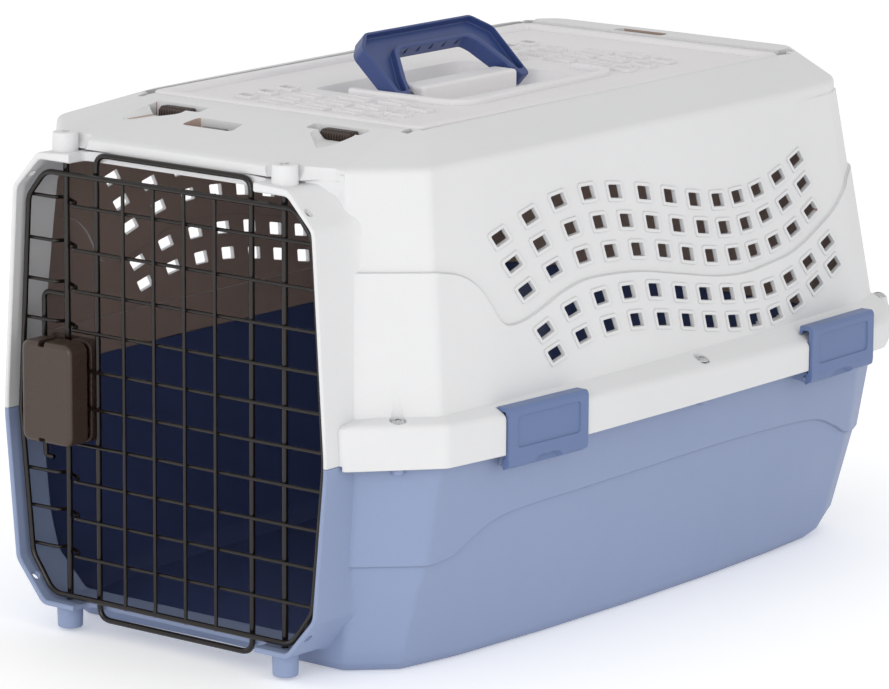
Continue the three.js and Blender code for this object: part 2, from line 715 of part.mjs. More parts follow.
// ---------------------------------------------------------------- top door
// Columns of raised lozenges: x, half length along x, y of each. One column is open.
const LOZENGES = [
  { x: -57, half: 7.4, open: true, ys: [149, 169.5, 190, 405, 426, 447] },
  { x: -28, half: 10.5, ys: [131, 153.5, 176, 392, 414.5, 437] },
  { x: 3, half: 12, ys: [144.5, 165.5, 186.5, 404.5, 426, 447] },
  { x: 31.5, half: 10.5, ys: [145, 167.5, 190, 406, 428.5, 451] },
  { x: 61, half: 8.8, ys: [136, 158.5, 181, 398, 421, 443.5] },
];

function lidPanel() {
  const outline = chamferedRect(LID_X, LID_Y, 6);
  const at = (t, z) =>
    outline.map(([x, y]) => [x - Math.sign(x) * t, y - Math.sign(y - LID_MID_Y) * t, z]);
  const field = chamferedRect(shrink(LID_X, 11), shrink(LID_Y, 9), 8);
  const underside = chamferedRect(shrink(LID_X, 9), shrink(LID_Y, 6), 8);
  return cut(
    loft([at(0, 326.2), at(0, LID_TOP - 1.6), at(1.6, LID_TOP)]),
    prism("z", field, [331.2, 350]),
    prism("z", underside, [320, 328.4]),
  );
}

// Well around the handle, with the bored pivot block in its middle.
function addHandleWell(panel) {
  let s = join(panel, loft([
    rectRing([-63, 52], [205, 362], 318.5),
    rectRing([-65, 58], [196, 372], 330),
  ]));
  s = cut(s, loft([
    rectRing([-42, 40], [216, 354], 321.6),
    rectRing([-50, 48], [205, 364], 336),
  ]));
  s = join(s, box(around(HANDLE_X, 10), around(HANDLE_Y, 50), [319, 336.4]));
  // room for the handle's legs
  s = cut(s, ...eachSide((k) =>
    box([-60, 32], around(HANDLE_Y + k * 60.1, 9.9), [321.8, 360])));
  return cut(
    s,
    rodAlongY(HANDLE_X, HANDLE_Z, [HANDLE_Y - 55, HANDLE_Y - 37], HANDLE_BORE_R),
    rodAlongY(HANDLE_X, HANDLE_Z, [HANDLE_Y + 37, HANDLE_Y + 55], HANDLE_BORE_R),
  );
}

function topDoor() {
  let s = addHandleWell(lidPanel());
  for (const { x, half, open, ys } of LOZENGES)
    for (const y of ys) {
      const lozenge = (a, b) => [
        [x - a, y - b + 1], [x + a, y - b - 1], [x + a, y + b - 1], [x - a, y + b + 1],
      ];
      s = join(s, prism("z", lozenge(half, 5.6), [330, 332.4]));
      if (open) s = cut(s, prism("z", lozenge(half - 1.8, 3.8), [320, 340]));
    }
  // grooves under the long edges for the hinge rods
  const grooveR = LID_ROD_R + 0.25;
  const grooveY = shrink(LID_Y, -5);
  for (const x of [-LID_AXIS_X, LID_AXIS_X])
    s = cut(
      s,
      rodAlongY(x, LID_AXIS_Z, grooveY, grooveR),
      box(around(x, grooveR), grooveY, [318, LID_AXIS_Z]),
    );
  return s;
}

function lidRod(x) {
  const [y0, y1] = shrink(LID_Y, -9.5);
  return wire([[x, y0, LID_AXIS_Z], [x, y1, LID_AXIS_Z]], LID_ROD_R, 10);
}

// Latch slides: bars along X under the roof.
const SLIDE_X = [-92, 92];
const SLIDE_Z = [316.5, 319.6];

// Narrow grooves across a pad, count on each side of the middle one.
function cutRibs(slide, { x, y, z, pitch, count }) {
  let s = slide;
  for (let i = -count; i <= count; i++) s = cut(s, box(around(x + i * pitch, 0.6), y, z));
  return s;
}

// Front slide, with a plain tab and two ribbed thumb pads.
function latchSlideFront() {
  let s = join(box(SLIDE_X, [63, 74], SLIDE_Z), box([-27, -6.6], [64, 73], [319, 326]));
  for (const x of [-THUMB_X, THUMB_X]) {
    s = join(
      s,
      box(around(x, 15), [72, 97.2], SLIDE_Z),
      box(around(x, 15), [87.8, 97.2], [319, 331]),
    );
    s = cutRibs(s, { x, y: [80, 100], z: [330, 340], pitch: 3, count: 4 });
  }
  return s;
}

// Rear slide, with one ribbed tab.
function latchSlideRear() {
  const rear = LID_Y[1];
  const slide = join(
    box(SLIDE_X, [rear + 4, rear + 12.8], SLIDE_Z),
    box([-27, -5], [rear + 4.2, rear + 12.6], [319, 332.5]),
  );
  return cutRibs(slide, { x: -16, y: [500, 540], z: [331.6, 340], pitch: 2.8, count: 3 });
}

// ---------------------------------------------------------------- carry handle
// Drawn upright about its pivots. Outlines: y along the carrier, z up from the pivot.
const HANDLE_OUTER = [
  [-68.5, -4.5], [-57.5, -4.5], [-56, 3], [56, 3], [57.5, -4.5], [68.5, -4.5],
  [69, 39.5], [54, 50.5], [-54, 50.5], [-69, 39.5],
];
const HANDLE_HOLE = [
  [-56.5, -10], [56.5, -10], [52.5, 8], [41, 29], [36, 34],
  [-36, 34], [-41, 29], [-52.5, 8],
];
const HANDLE_CHANNEL = [
  [-64, 0], [-60, 0], [-56, 12], [-44, 34], [-39, 37.5], [39, 37.5], [44, 34],
  [56, 12], [60, 0], [64, 0], [64.5, 37.5], [52, 46.5], [-52, 46.5], [-64.5, 37.5],
];

function carryHandle() {
  return cut(
    prism("x", HANDLE_OUTER, [-6, 6]),
    prism("x", HANDLE_HOLE, [-20, 20]),
    prism("x", HANDLE_CHANNEL, [-8, -2]),
    prism("x", HANDLE_CHANNEL, [2, 8]),
    rodAlongY(0, 0, [-80, 80], HANDLE_BORE_R),
  );
}

// ---------------------------------------------------------------- side clips
// Section of a clip: x from the rim's outer line, z.
const CLIP_SECTION = [
  [-1.9, 128.5], [1.5, 130.5], [2, 134], [2, 165], [0.5, 167.6], [-8.6, 167.6],
  [-9, 162.4], [-7.4, 161.6], [-6.4, 164.4], [-1.7, 164.4], [-1.7, 136], [-4.5, 134.6],
  [-9.3, 134.6], [-10.4, 132.4], [-10.4, 129], [-8.8, 127.2], [-4.6, 127.2],
];

function clipBody() {
  const w = CLIP_HALF;
  const barrelCut = (y) => box([-16, -3.4], y, [120, 136.4]);
  return cut(
    prism("y", CLIP_SECTION, [-w, w]),
    box([1.2, 6], [-w + 7, w - 7], [142, 161]), // recess in the outer face
    ...eachSide((k) => barrelCut(around(k * EAR_OFFSET, 3.5))), // gaps for the ears
    barrelCut([-w - 2, -w + 5.5]),
    barrelCut([w - 5.5, w + 2]),
    rodAlongY(PIVOT_X, PIVOT_Z, [-w - 5, w + 5], 1.8),
  );
}
const clipPin = () => rodAlongY(PIVOT_X, PIVOT_Z, shrink([-CLIP_HALF, CLIP_HALF], 5), 1.5);

// ---------------------------------------------------------------- rim screws
// Turned screw with a cross slot in its head.
function rimScrew(x, y, seat) {
  const profile = [
    [0, 138], [1.9, 138], [1.9, seat + 0.3], [4.6, seat + 0.3],
    [4.6, seat + 1.1], [2.6, seat + 3.2], [0, seat + 3.2],
  ].map(([r, z]) => new THREE.Vector2(r, z));
  const geometry = new THREE.LatheGeometry(profile, 14);
  geometry.rotateX(Math.PI / 2);
  geometry.translate(x, y, 0);
  const slotZ = [seat + 1.8, 200];
  return cut(
    solid(geometry),
    box(around(x, 2.8), around(y, 0.5), slotZ),
    box(around(x, 0.5), around(y, 2.8), slotZ),
  );
}

// ---------------------------------------------------------------- assembly
const MATERIALS = {
  shellLight: { color: 0xd8d9dc, roughness: 0.62, metalness: 0 },
  shellBlue: { color: 0x8d9cc0, roughness: 0.6, metalness: 0 },
  clipBlue: { color: 0x6c81b3, roughness: 0.55, metalness: 0 },
  handleBlue: { color: 0x3c5691, roughness: 0.5, metalness: 0 },
  wire: { color: 0x3a322e, roughness: 0.38, metalness: 0.7 },
  latchBrown: { color: 0x4a3f39, roughness: 0.55, metalness: 0 },
  zinc: { color: 0xb9bbbd, roughness: 0.3, metalness: 0.9 },
  slideBrown: { color: 0x4c423d, roughness: 0.55, metalness: 0 },
};

const carrier = new THREE.Group();
carrier.name = "pet_carrier";
carrier.position.y = -MIDDLE_Y;

function add(name, body, material, parent = carrier) {
  const look = new THREE.MeshStandardMaterial(MATERIALS[material]);
  const mesh = new THREE.Mesh(geometryOf(body), look);
  mesh.name = name;
  parent.add(mesh);
}

add("bottom_shell", bottomShell(), "shellBlue");
add("top_shell", topShell(), "shellLight");

add("front_door_grille", frontGrille(), "wire");
add("front_latch_housing", latchHousing(), "latchBrown");
add("front_latch_plate", latchPlate(), "latchBrown");
add("front_latch_rod_upper", latchRodUpper(), "wire");
add("front_latch_rod_lower", latchRodLower(), "wire");
add("front_latch_spring", latchSpring(), "zinc");
POSTS.forEach((post, i) => add(`front_latch_screw_${i + 1}`, latchScrew(post), "zinc"));

add("top_door", topDoor(), "shellLight");
add("top_door_rod_left", lidRod(-LID_AXIS_X), "wire");
add("top_door_rod_right", lidRod(LID_AXIS_X), "wire");
add("top_latch_slide_front", latchSlideFront(), "slideBrown");
add("top_latch_slide_rear", latchSlideRear(), "slideBrown");

const handle = new THREE.Group();
handle.position.set(HANDLE_X, HANDLE_Y, HANDLE_Z);
handle.rotation.y = -HANDLE_LEAN * DEG;
carrier.add(handle);
add("carry_handle", carryHandle(), "handleBlue", handle);
const handlePin = (y) => rodAlongY(HANDLE_X, HANDLE_Z, y, 1.85);
add("handle_pin_front", handlePin([HANDLE_Y - 67, HANDLE_Y - 38]), "zinc");
add("handle_pin_rear", handlePin([HANDLE_Y + 38, HANDLE_Y + 67]), "zinc");

const SIDES = [["right", 1], ["left", -1]];
for (const [sideName, side] of SIDES)
  CLIP_FRAMES.forEach((frame, i) => {
    const tag = `${sideName}_${i ? "rear" : "front"}`;
    add(`side_clip_${tag}`, place(clipBody(), frame, side), "clipBlue");
    add(`side_clip_pin_${tag}`, place(clipPin(), frame, side), "zinc");
  });
for (const [sideName, side] of SIDES)
  SCREWS.forEach(([x, y, seat], i) =>
    add(`rim_screw_${sideName}_${i + 1}`, rimScrew(side * x, y, seat), "zinc"));

export default carrier;
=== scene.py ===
import math

import bmesh
import bpy
import numpy as np
from mathutils import Matrix, Vector


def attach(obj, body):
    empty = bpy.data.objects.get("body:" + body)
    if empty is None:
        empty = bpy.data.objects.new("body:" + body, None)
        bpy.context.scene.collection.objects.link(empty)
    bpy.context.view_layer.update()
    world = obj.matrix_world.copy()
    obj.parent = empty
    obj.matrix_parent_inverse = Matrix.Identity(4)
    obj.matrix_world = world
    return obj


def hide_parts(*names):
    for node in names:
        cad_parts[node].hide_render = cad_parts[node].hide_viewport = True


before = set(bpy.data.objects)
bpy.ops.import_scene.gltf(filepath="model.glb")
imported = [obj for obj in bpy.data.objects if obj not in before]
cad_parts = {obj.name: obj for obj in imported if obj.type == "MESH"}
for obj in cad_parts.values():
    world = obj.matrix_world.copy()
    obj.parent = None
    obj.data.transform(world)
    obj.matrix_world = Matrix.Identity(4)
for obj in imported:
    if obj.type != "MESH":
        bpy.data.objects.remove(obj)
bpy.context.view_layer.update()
Y_SHIFT = -290.0
SCENE = bpy.context.scene
D2R = math.pi / 180

# ------------------------------------------------------------------ mesh helpers


def mesh_object(name, verts, faces):
    v = np.array(verts, float).reshape(-1, 3)
    me = bpy.data.meshes.new(name)
    me.from_pydata([tuple(p) for p in v], [], [tuple(int(i) for i in f) for f in faces])
    me.validate()
    ob = bpy.data.objects.new(name, me)
    SCENE.collection.objects.link(ob)
    bm = bmesh.new()
    bm.from_mesh(me)
    bmesh.ops.recalc_face_normals(bm, faces=bm.faces)
    if bm.calc_volume(signed=True) < 0:
        bmesh.ops.reverse_faces(bm, faces=bm.faces)
    bm.to_mesh(me)
    bm.free()
    return ob


def boolean(a, op, *others):
    for b in others:
        m = a.modifiers.new("b", "BOOLEAN")
        m.operation = op
        m.object = b
        m.solver = "MANIFOLD"
        dg = bpy.context.evaluated_depsgraph_get()
        me = bpy.data.meshes.new_from_object(a.evaluated_get(dg))
        a.modifiers.clear()
        old = a.data
        a.data = me
        bpy.data.meshes.remove(old)
        drop(b)
        if len(me.polygons) < 4:
            print("EMPTY boolean", a.name, op)
    return a


def drop(o):
    me = o.data
    bpy.data.objects.remove(o)
    if me.users == 0:
        bpy.data.meshes.remove(me)


def copy(o, name=None):
    c = o.copy()
    c.data = o.data.copy()
    if name:
        c.name = name
    SCENE.collection.objects.link(c)
    return c


def union(a, *o):
    return boolean(a, "UNION", *o)


def cut(a, *o):
    return boolean(a, "DIFFERENCE", *o)


def common(a, b):
    return boolean(a, "INTERSECT", b)


def many(name, parts):
    """One mesh object of several closed, separate solids given as (verts, faces)."""
    V, F, k = [], [], 0
    for v, f in parts:
        V.append(np.array(v, float))
        F += [[i + k for i in g] for g in f]
        k += len(v)
    return mesh_object(name, np.vstack(V), F)


def raw_loft(rings, closed=False):
    n = len(rings[0])
    verts = np.vstack([np.array(r, float) for r in rings])
    faces = []
    m = len(rings)
    for k in range(m if closed else m - 1):
        a0 = k * n
        b0 = ((k + 1) % m) * n
        for i in range(n):
            j = (i + 1) % n
            faces.append([a0 + i, a0 + j, b0 + j, b0 + i])
    if not closed:
        faces.append(list(range(n))[::-1])
        faces.append([(m - 1) * n + i for i in range(n)])
    return verts, faces


def loft(name, rings, closed=False):
    return mesh_object(name, *raw_loft(rings, closed))


def rounded(pts, rad, off=0.0, n=4, z=None):
    """Closed outline with rounded corners, drawn in by off. pts are counter-clockwise (x, y) or (x, y, z)."""
    P = np.array([list(p[:2]) for p in pts], float)
    Z = np.array([p[2] if len(p) > 2 and z is None else (z if z is not None else 0) for p in pts], float)
    N = len(P)
    rad = np.full(N, float(rad)) if np.isscalar(rad) else np.array(rad, float)
    e = np.roll(P, -1, 0) - P
    d = e / np.linalg.norm(e, axis=1)[:, None]
    nr = np.stack([-d[:, 1], d[:, 0]], 1)
    Q = P.copy()
    if off:
        for i in range(N):
            s = nr[i - 1] + nr[i]
            Q[i] = P[i] + s * (2 * off / (s @ s))
    out = []
    for i in range(N):
        a, b, c = Q[i - 1], Q[i], Q[(i + 1) % N]
        la, lc = np.linalg.norm(a - b), np.linalg.norm(c - b)
        u, v = (a - b) / la, (c - b) / lc
        turn = math.acos(max(-1, min(1, float(-(u @ v)))))
        cross = d[i - 1][0] * d[i][1] - d[i - 1][1] * d[i][0]
        r = max(0.15, rad[i] - off * (1 if cross > 0 else -1))
        t = max(0.02, min(r * math.tan(turn / 2), 0.46 * la, 0.46 * lc))
        za, zb, zc = Z[i - 1], Z[i], Z[(i + 1) % N]
        A = np.array([*(b + u * t), zb + (za - zb) * t / la])
        C = np.array([*(b + v * t), zb + (zc - zb) * t / lc])
        B = np.array([b[0], b[1], zb])
        for k in range(n + 1):
            s = k / n
            out.append((1 - s) ** 2 * A + 2 * s * (1 - s) * B + s * s * C)
    return np.array(out)


AX = {"x": (2, 0, 1), "y": (0, 2, 1), "z": (0, 1, 2)}


def to_axis(ring2, axis, h):
    """ring2's (p, q) to (y, z), (x, z) or (x, y), at height h along the axis."""
    r = np.zeros((len(ring2), 3))
    if axis == "x":
        r[:, 1], r[:, 2], r[:, 0] = ring2[:, 0], ring2[:, 1], h
    elif axis == "y":
        r[:, 0], r[:, 2], r[:, 1] = ring2[:, 0], ring2[:, 1], h
    else:
        r[:, 0], r[:, 1], r[:, 2] = ring2[:, 0], ring2[:, 1], h
    return r


def ccw(pts):
    P = np.array([p[:2] for p in pts], float)
    x, y = P[:, 0], P[:, 1]
    if (x * np.roll(y, -1) - y * np.roll(x, -1)).sum() < 0:
        return [list(p) for p in pts][::-1]
    return [list(p) for p in pts]


def slab_rings(pts, axis, lo, hi, rad=0.2, elo=0.0, ehi=0.0, n=4, flare=0.0):
    """Rings of a prism with rounded outline corners (rad) and rounded rims of radius elo and ehi."""
    pts = ccw(pts)
    lv = []
    if elo > 0:
        for a in (0, 30, 60, 90):
            lv.append((lo + elo * (1 - math.sin(a * D2R)), elo * (1 - math.cos(a * D2R))))
        lv = lv[::-1]
        lv = [(lo + elo * (1 - math.cos(a * D2R)), elo * (1 - math.sin(a * D2R))) for a in (0, 30, 60, 90)]
    else:
        lv = [(lo, 0.0)]
    if ehi > 0:
        lv += [(hi - ehi * (1 - math.cos(a * D2R)), ehi * (1 - math.sin(a * D2R))) for a in (90, 60, 30, 0)]
    else:
        lv += [(hi, 0.0)]
    return [to_axis(rounded(pts, rad, off, n), axis, h) for h, off in lv]


def slab(name, pts, axis, lo, hi, rad=0.2, elo=0.0, ehi=0.0, n=4):
    return loft(name, slab_rings(pts, axis, lo, hi, rad, elo, ehi, n))


def box(x0, x1, y0, y1, z0, z1, e=0.0, rad=0.0):
    pts = [[x0, y0], [x1, y0], [x1, y1], [x0, y1]]
    if e or rad:
        return slab("box", pts, "z", z0, z1, max(rad, e, 0.2), e, e)
    v = [[x, y, z] for z in (z0, z1) for x, y in pts]
    return mesh_object("box", v, [[3, 2, 1, 0], [4, 5, 6, 7], [0, 1, 5, 4], [1, 2, 6, 5], [2, 3, 7, 6], [3, 0, 4, 7]])


def prism_raw(pts, axis, lo, hi):
    p = np.array(ccw(pts), float)
    return raw_loft([to_axis(p, axis, lo), to_axis(p, axis, hi)])


def prism(name, pts, axis, lo, hi):
    return mesh_object(name, *prism_raw(pts, axis, lo, hi))


def cyl_raw(a, b, r0, r1=None, n=24, e=0.0):
    a, b = np.array(a, float), np.array(b, float)
    r1 = r0 if r1 is None else r1
    w = b - a
    L = np.linalg.norm(w)
    w /= L
    u = np.cross(w, [0, 0, 1.0]) if abs(w[2]) < 0.9 else np.cross(w, [1.0, 0, 0])
    u /= np.linalg.norm(u)
    v = np.cross(w, u)
    lv = [(0, r0), (L, r1)]
    if e:
        lv = [(0, r0)] + [(L - e * (1 - math.cos(t * D2R)), r1 - e * (1 - math.sin(t * D2R))) for t in (90, 60, 30, 0)]
    rings = []
    for h, r in lv:
        rings.append([a + w * h + (u * math.cos(k * 2 * math.pi / n) + v * math.sin(k * 2 * math.pi / n)) * r for k in range(n)])
    return raw_loft(rings)


def cyl(a, b, r0, r1=None, n=24, e=0.0):
    return mesh_object("cyl", *cyl_raw(a, b, r0, r1, n, e))


def fillet_path(pts, r, closed=False, n=6):
    P = [np.array(p, float) for p in pts]
    N = len(P)
    out = []
    for i in range(N):
        if not closed and i in (0, N - 1):
            out.append(P[i])
            continue
        a, b, c = P[i - 1], P[i], P[(i + 1) % N]
        la, lc = np.linalg.norm(a - b), np.linalg.norm(c - b)
        u, v = (a - b) / la, (c - b) / lc
        turn = math.acos(max(-1, min(1, float(-(u @ v)))))
        if turn < 0.02:
            out.append(b)
            continue
        t = min(r * math.tan(turn / 2), 0.47 * la, 0.47 * lc)
        for k in range(n + 1):
            s = k / n
            out.append((1 - s) ** 2 * (b + u * t) + 2 * s * (1 - s) * b + s * s * (b + v * t))
    return out


def tube_raw(path, r, n=12, closed=False, round_end=True):
    P = [np.array(p, float) for p in path]
    m = len(P)
    T = []
    for i in range(m):
        if closed:
            t = P[(i + 1) % m] - P[i - 1]
        else:
            t = P[min(i + 1, m - 1)] - P[max(i - 1, 0)]
        T.append(t / np.linalg.norm(t))
    ref = np.array([0.0, 1, 0]) if abs(T[0][1]) < 0.9 else np.array([1.0, 0, 0])
    rings = []
    N0 = None
    for i in range(m):
        if N0 is None:
            nrm = ref - T[i] * (ref @ T[i])
        else:
            nrm = N0 - T[i] * (N0 @ T[i])
        nrm /= np.linalg.norm(nrm)
        N0 = nrm
        b = np.cross(T[i], nrm)
        rings.append((P[i], nrm, b))
    if closed:
        # spread the leftover twist along the loop
        t0 = T[0]
        nr = N0 - t0 * (N0 @ t0)
        nr /= np.linalg.norm(nr)
        ang = math.atan2(float(nr @ rings[0][2]), float(nr @ rings[0][1]))
    out = []
    for i, (p, a, b) in enumerate(rings):
        tw = -ang * i / m if closed else 0.0
        out.append([p + (a * math.cos(2 * math.pi * k / n + tw) + b * math.sin(2 * math.pi * k / n + tw)) * r for k in range(n)])
    if not closed and round_end:
        def shrink(idx, s):
            p, a, b = rings[idx]
            res = []
            for back, f in ((0.0, 0.999), (0.35, 0.93), (0.7, 0.71)):
                res.append([p + T[idx] * s * r * back + (a * math.cos(2 * math.pi * k / n) + b * math.sin(2 * math.pi * k / n)) * r * f for k in range(n)])
            return res
        out = shrink(0, -1)[::-1] + out[1:-1] + shrink(m - 1, 1) if m > 2 else shrink(0, -1)[::-1] + shrink(m - 1, 1)
    return raw_loft(out, closed)


def spline(pts, per=5):
    """Catmull-Rom through 2-D points."""
    P = [np.array(p, float) for p in pts]
    P = [2 * P[0] - P[1]] + P + [2 * P[-1] - P[-2]]
    out = []
    for i in range(1, len(P) - 2):
        a, b, c, d = P[i - 1], P[i], P[i + 1], P[i + 2]
        for k in range(per):
            t = k / per
            out.append(0.5 * (2 * b + (c - a) * t + (2 * a - 5 * b + 4 * c - d) * t * t + (3 * b - a - 3 * c + d) * t ** 3))
    out.append(P[-2])
    return [list(p) for p in out]


def transform(ob, m):
    ob.data.transform(m)
    return ob


def put(ob, name, body, *stands_for, material=None, slot=None, angle=32, weld=1e-6):
    """Finishes a piece: metres, row frame, shading, material, body and the CAD nodes it stands for."""
    ob.name = name
    ob.data.name = name
    me = ob.data
    me.transform(Matrix.Scale(0.001, 4) @ Matrix.Translation((0, Y_SHIFT, 0)))
    bm = bmesh.new()
    bm.from_mesh(me)
    bmesh.ops.remove_doubles(bm, verts=bm.verts, dist=2e-6)
    bmesh.ops.dissolve_degenerate(bm, edges=bm.edges, dist=weld)
    bm.to_mesh(me)
    bm.free()
    me.materials.clear()
    for m in material if isinstance(material, (list, tuple)) else [material]:
        me.materials.append(m)
    for p in me.polygons:
        p.use_smooth = True
    me.set_sharp_from_angle(angle=angle * D2R)
    w = ob.modifiers.new("wn", "WEIGHTED_NORMAL")
    w.keep_sharp = True
    w.weight = 50
    if stands_for:
        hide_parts(*stands_for)
    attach(ob, body)
    return ob


# ------------------------------------------------------------------ materials


def hex_rgb(h):
    c = [((h >> s) & 255) / 255 for s in (16, 8, 0)]
    return [x / 12.92 if x <= 0.04045 else ((x + 0.055) / 1.055) ** 2.4 for x in c]


def nodes_of(name):
    m = bpy.data.materials.new(name)
    m.use_nodes = True
    nt = m.node_tree
    nt.nodes.clear()
    out = nt.nodes.new("ShaderNodeOutputMaterial")
    b = nt.nodes.new("ShaderNodeBsdfPrincipled")
    nt.links.new(b.outputs[0], out.inputs[0])
    return m, nt, b


def N(nt, kind, **kw):
    n = nt.nodes.new(kind)
    for k, v in kw.items():
        if k in n.inputs:
            n.inputs[k].default_value = v
        else:
            setattr(n, k, v)
    return n


def plastic(name, color, rough=0.5, grain=1500, bump=0.12, edge=0.0009, mottle=0.035, sheen=0.45, grain2=420, bump2=0.05, scuff=0.05):
    """Moulded plastic: fine spark-eroded grain, faint flow marks, slightly polished edges."""
    m, nt, b = nodes_of(name)
    L = nt.links.new
    tc = N(nt, "ShaderNodeTexCoord")
    rgb = hex_rgb(color)
    # colour: low, slow variation of the pigment and light scuffing
    n1 = N(nt, "ShaderNodeTexNoise", Scale=9.0, Detail=3.0)
    L(tc.outputs["Object"], n1.inputs["Vector"])
    r1 = N(nt, "ShaderNodeMapRange")
    r1.inputs["To Min"].default_value = 1 - mottle
    r1.inputs["To Max"].default_value = 1 + mottle
    L(n1.outputs["Fac"], r1.inputs["Value"])
    n2 = N(nt, "ShaderNodeTexNoise", Scale=grain * 0.45, Detail=2.0)
    L(tc.outputs["Object"], n2.inputs["Vector"])
    r2 = N(nt, "ShaderNodeMapRange")
    r2.inputs["To Min"].default_value = 0.975
    r2.inputs["To Max"].default_value = 1.02
    L(n2.outputs["Fac"], r2.inputs["Value"])
    mul = N(nt, "ShaderNodeMath", operation="MULTIPLY")
    L(r1.outputs[0], mul.inputs[0])
    L(r2.outputs[0], mul.inputs[1])
    vm = N(nt, "ShaderNodeVectorMath", operation="SCALE")
    vm.inputs[0].default_value = rgb
    L(mul.outputs[0], vm.inputs["Scale"])
    L(vm.outputs[0], b.inputs["Base Color"])
    # roughness varies with the grain and with rubbed patches
    n3 = N(nt, "ShaderNodeTexNoise", Scale=26.0, Detail=4.0, Roughness=0.65)
    L(tc.outputs["Object"], n3.inputs["Vector"])
    r3 = N(nt, "ShaderNodeMapRange")
    r3.inputs["From Min"].default_value = 0.3
    r3.inputs["From Max"].default_value = 0.7
    r3.inputs["To Min"].default_value = rough - scuff
    r3.inputs["To Max"].default_value = rough + scuff
    L(n3.outputs["Fac"], r3.inputs["Value"])
    L(r3.outputs[0], b.inputs["Roughness"])
    b.inputs["Specular IOR Level"].default_value = sheen
    # relief: fine grain over a coarser orange-peel, on bevelled edges
    v1 = N(nt, "ShaderNodeTexNoise", Scale=float(grain), Detail=2.0, Roughness=0.55)
    L(tc.outputs["Object"], v1.inputs["Vector"])
    v2 = N(nt, "ShaderNodeTexNoise", Scale=float(grain2), Detail=1.0)
    L(tc.outputs["Object"], v2.inputs["Vector"])
    bv = N(nt, "ShaderNodeBevel")
    bv.samples = 6
    bv.inputs["Radius"].default_value = edge
    b2 = N(nt, "ShaderNodeBump")
    b2.inputs["Strength"].default_value = bump2
    b2.inputs["Distance"].default_value = 0.0006
    L(v2.outputs["Fac"], b2.inputs["Height"])
    L(bv.outputs[0], b2.inputs["Normal"])
    b1 = N(nt, "ShaderNodeBump")
    b1.inputs["Strength"].default_value = bump
    b1.inputs["Distance"].default_value = 0.0003
    L(v1.outputs["Fac"], b1.inputs["Height"])
    L(b2.outputs[0], b1.inputs["Normal"])
    L(b1.outputs[0], b.inputs["Normal"])
    return m


def metal(name, color, rough=0.3, metallic=1.0, coat=0.0, streak=(1, 1, 1), bump=0.05, edge=0.0004, scale=900):
    """Metal or coated wire: fine drawn or blasted relief and uneven gloss."""
    m, nt, b = nodes_of(name)
    L = nt.links.new
    tc = N(nt, "ShaderNodeTexCoord")
    mp = N(nt, "ShaderNodeMapping")
    mp.inputs["Scale"].default_value = streak
    L(tc.outputs["Object"], mp.inputs["Vector"])
    n1 = N(nt, "ShaderNodeTexNoise", Scale=float(scale), Detail=3.0)
    L(mp.outputs[0], n1.inputs["Vector"])
    n2 = N(nt, "ShaderNodeTexNoise", Scale=60.0, Detail=3.0)
    L(tc.outputs["Object"], n2.inputs["Vector"])
    mixc = N(nt, "ShaderNodeMix", data_type="RGBA")
    rgb = hex_rgb(color)
    mixc.inputs[6].default_value = (*[c * 0.82 for c in rgb], 1)
    mixc.inputs[7].default_value = (*[min(1, c * 1.15) for c in rgb], 1)
    L(n2.outputs["Fac"], mixc.inputs[0])
    L(mixc.outputs[2], b.inputs["Base Color"])
    r = N(nt, "ShaderNodeMapRange")
    r.inputs["To Min"].default_value = rough * 0.7
    r.inputs["To Max"].default_value = rough * 1.35
    L(n1.outputs["Fac"], r.inputs["Value"])
    L(r.outputs[0], b.inputs["Roughness"])
    b.inputs["Metallic"].default_value = metallic
    b.inputs["Coat Weight"].default_value = coat
    b.inputs["Coat Roughness"].default_value = 0.2
    bv = N(nt, "ShaderNodeBevel")
    bv.samples = 4
    bv.inputs["Radius"].default_value = edge
    bp = N(nt, "ShaderNodeBump")
    bp.inputs["Strength"].default_value = bump
    bp.inputs["Distance"].default_value = 0.0002
    L(n1.outputs["Fac"], bp.inputs["Height"])
    L(bv.outputs[0], bp.inputs["Normal"])
    L(bp.outputs[0], b.inputs["Normal"])
    return m


M_LIGHT = plastic("shell_light", 0xDCDCDD, 0.5, grain=1700, bump=0.16, grain2=520, bump2=0.06)
# darker brownish copy of the light plastic: painted shade for the cabin's inside faces
M_LIGHT_PAINTED_SHADE = plastic("shell_light_inside_painted_shade", 0xB09A8E, 0.42, grain=900, bump=0.05)
M_LID = plastic("roof_door_grain", 0xE4E2E3, 0.5, grain=1000, bump=0.5, grain2=420, bump2=0.1)
M_BLUE = plastic("shell_blue", 0x8A98B8, 0.5, grain=1700, bump=0.16, grain2=520, bump2=0.06)
# darker navy copy of the blue plastic: painted shade for the cabin's inside faces
M_BLUE_PAINTED_SHADE = plastic("shell_blue_inside_painted_shade", 0x485684, 0.42, grain=900, bump=0.04, mottle=0.02, scuff=0.0)
M_CLIP = plastic("clip_blue", 0x61749E, 0.42, grain=1500, bump=0.08)
M_HANDLE = plastic("handle_blue", 0x32457A, 0.36, grain=1300, bump=0.06, sheen=0.55)
M_WIRE = metal("wire_bronze", 0x140D0A, 0.17, metallic=0.0, coat=0.0, bump=0.05)
M_BROWN = plastic("latch_brown", 0x40322B, 0.3, grain=1400, bump=0.08)
M_ZINC = metal("zinc", 0xC9CACC, 0.26, metallic=1.0, bump=0.08)

# ------------------------------------------------------------------ driving dimensions
WALL, PART_Z, RIM_Z, SKIRT_Z, EAVE_Z = 2.7, 141.0, 149.3, 137.7, 319.0
ROD_X, ROD_Y, LATCH_Y = 90.4, 12.7, 13.4
LID_X, LID_Y0, LID_Y1, LID_TOP = 113.2, 116.0, 514.0, 334.6
LID_AXIS_X, LID_AXIS_Z = 109.0, 329.6
CLIP_W, PIVOT_Z = 76.0, 130.6
HANDLE_X, HANDLE_Y, HANDLE_Z, HANDLE_LEAN = 12.0, 283.0, 329.5, 47.0

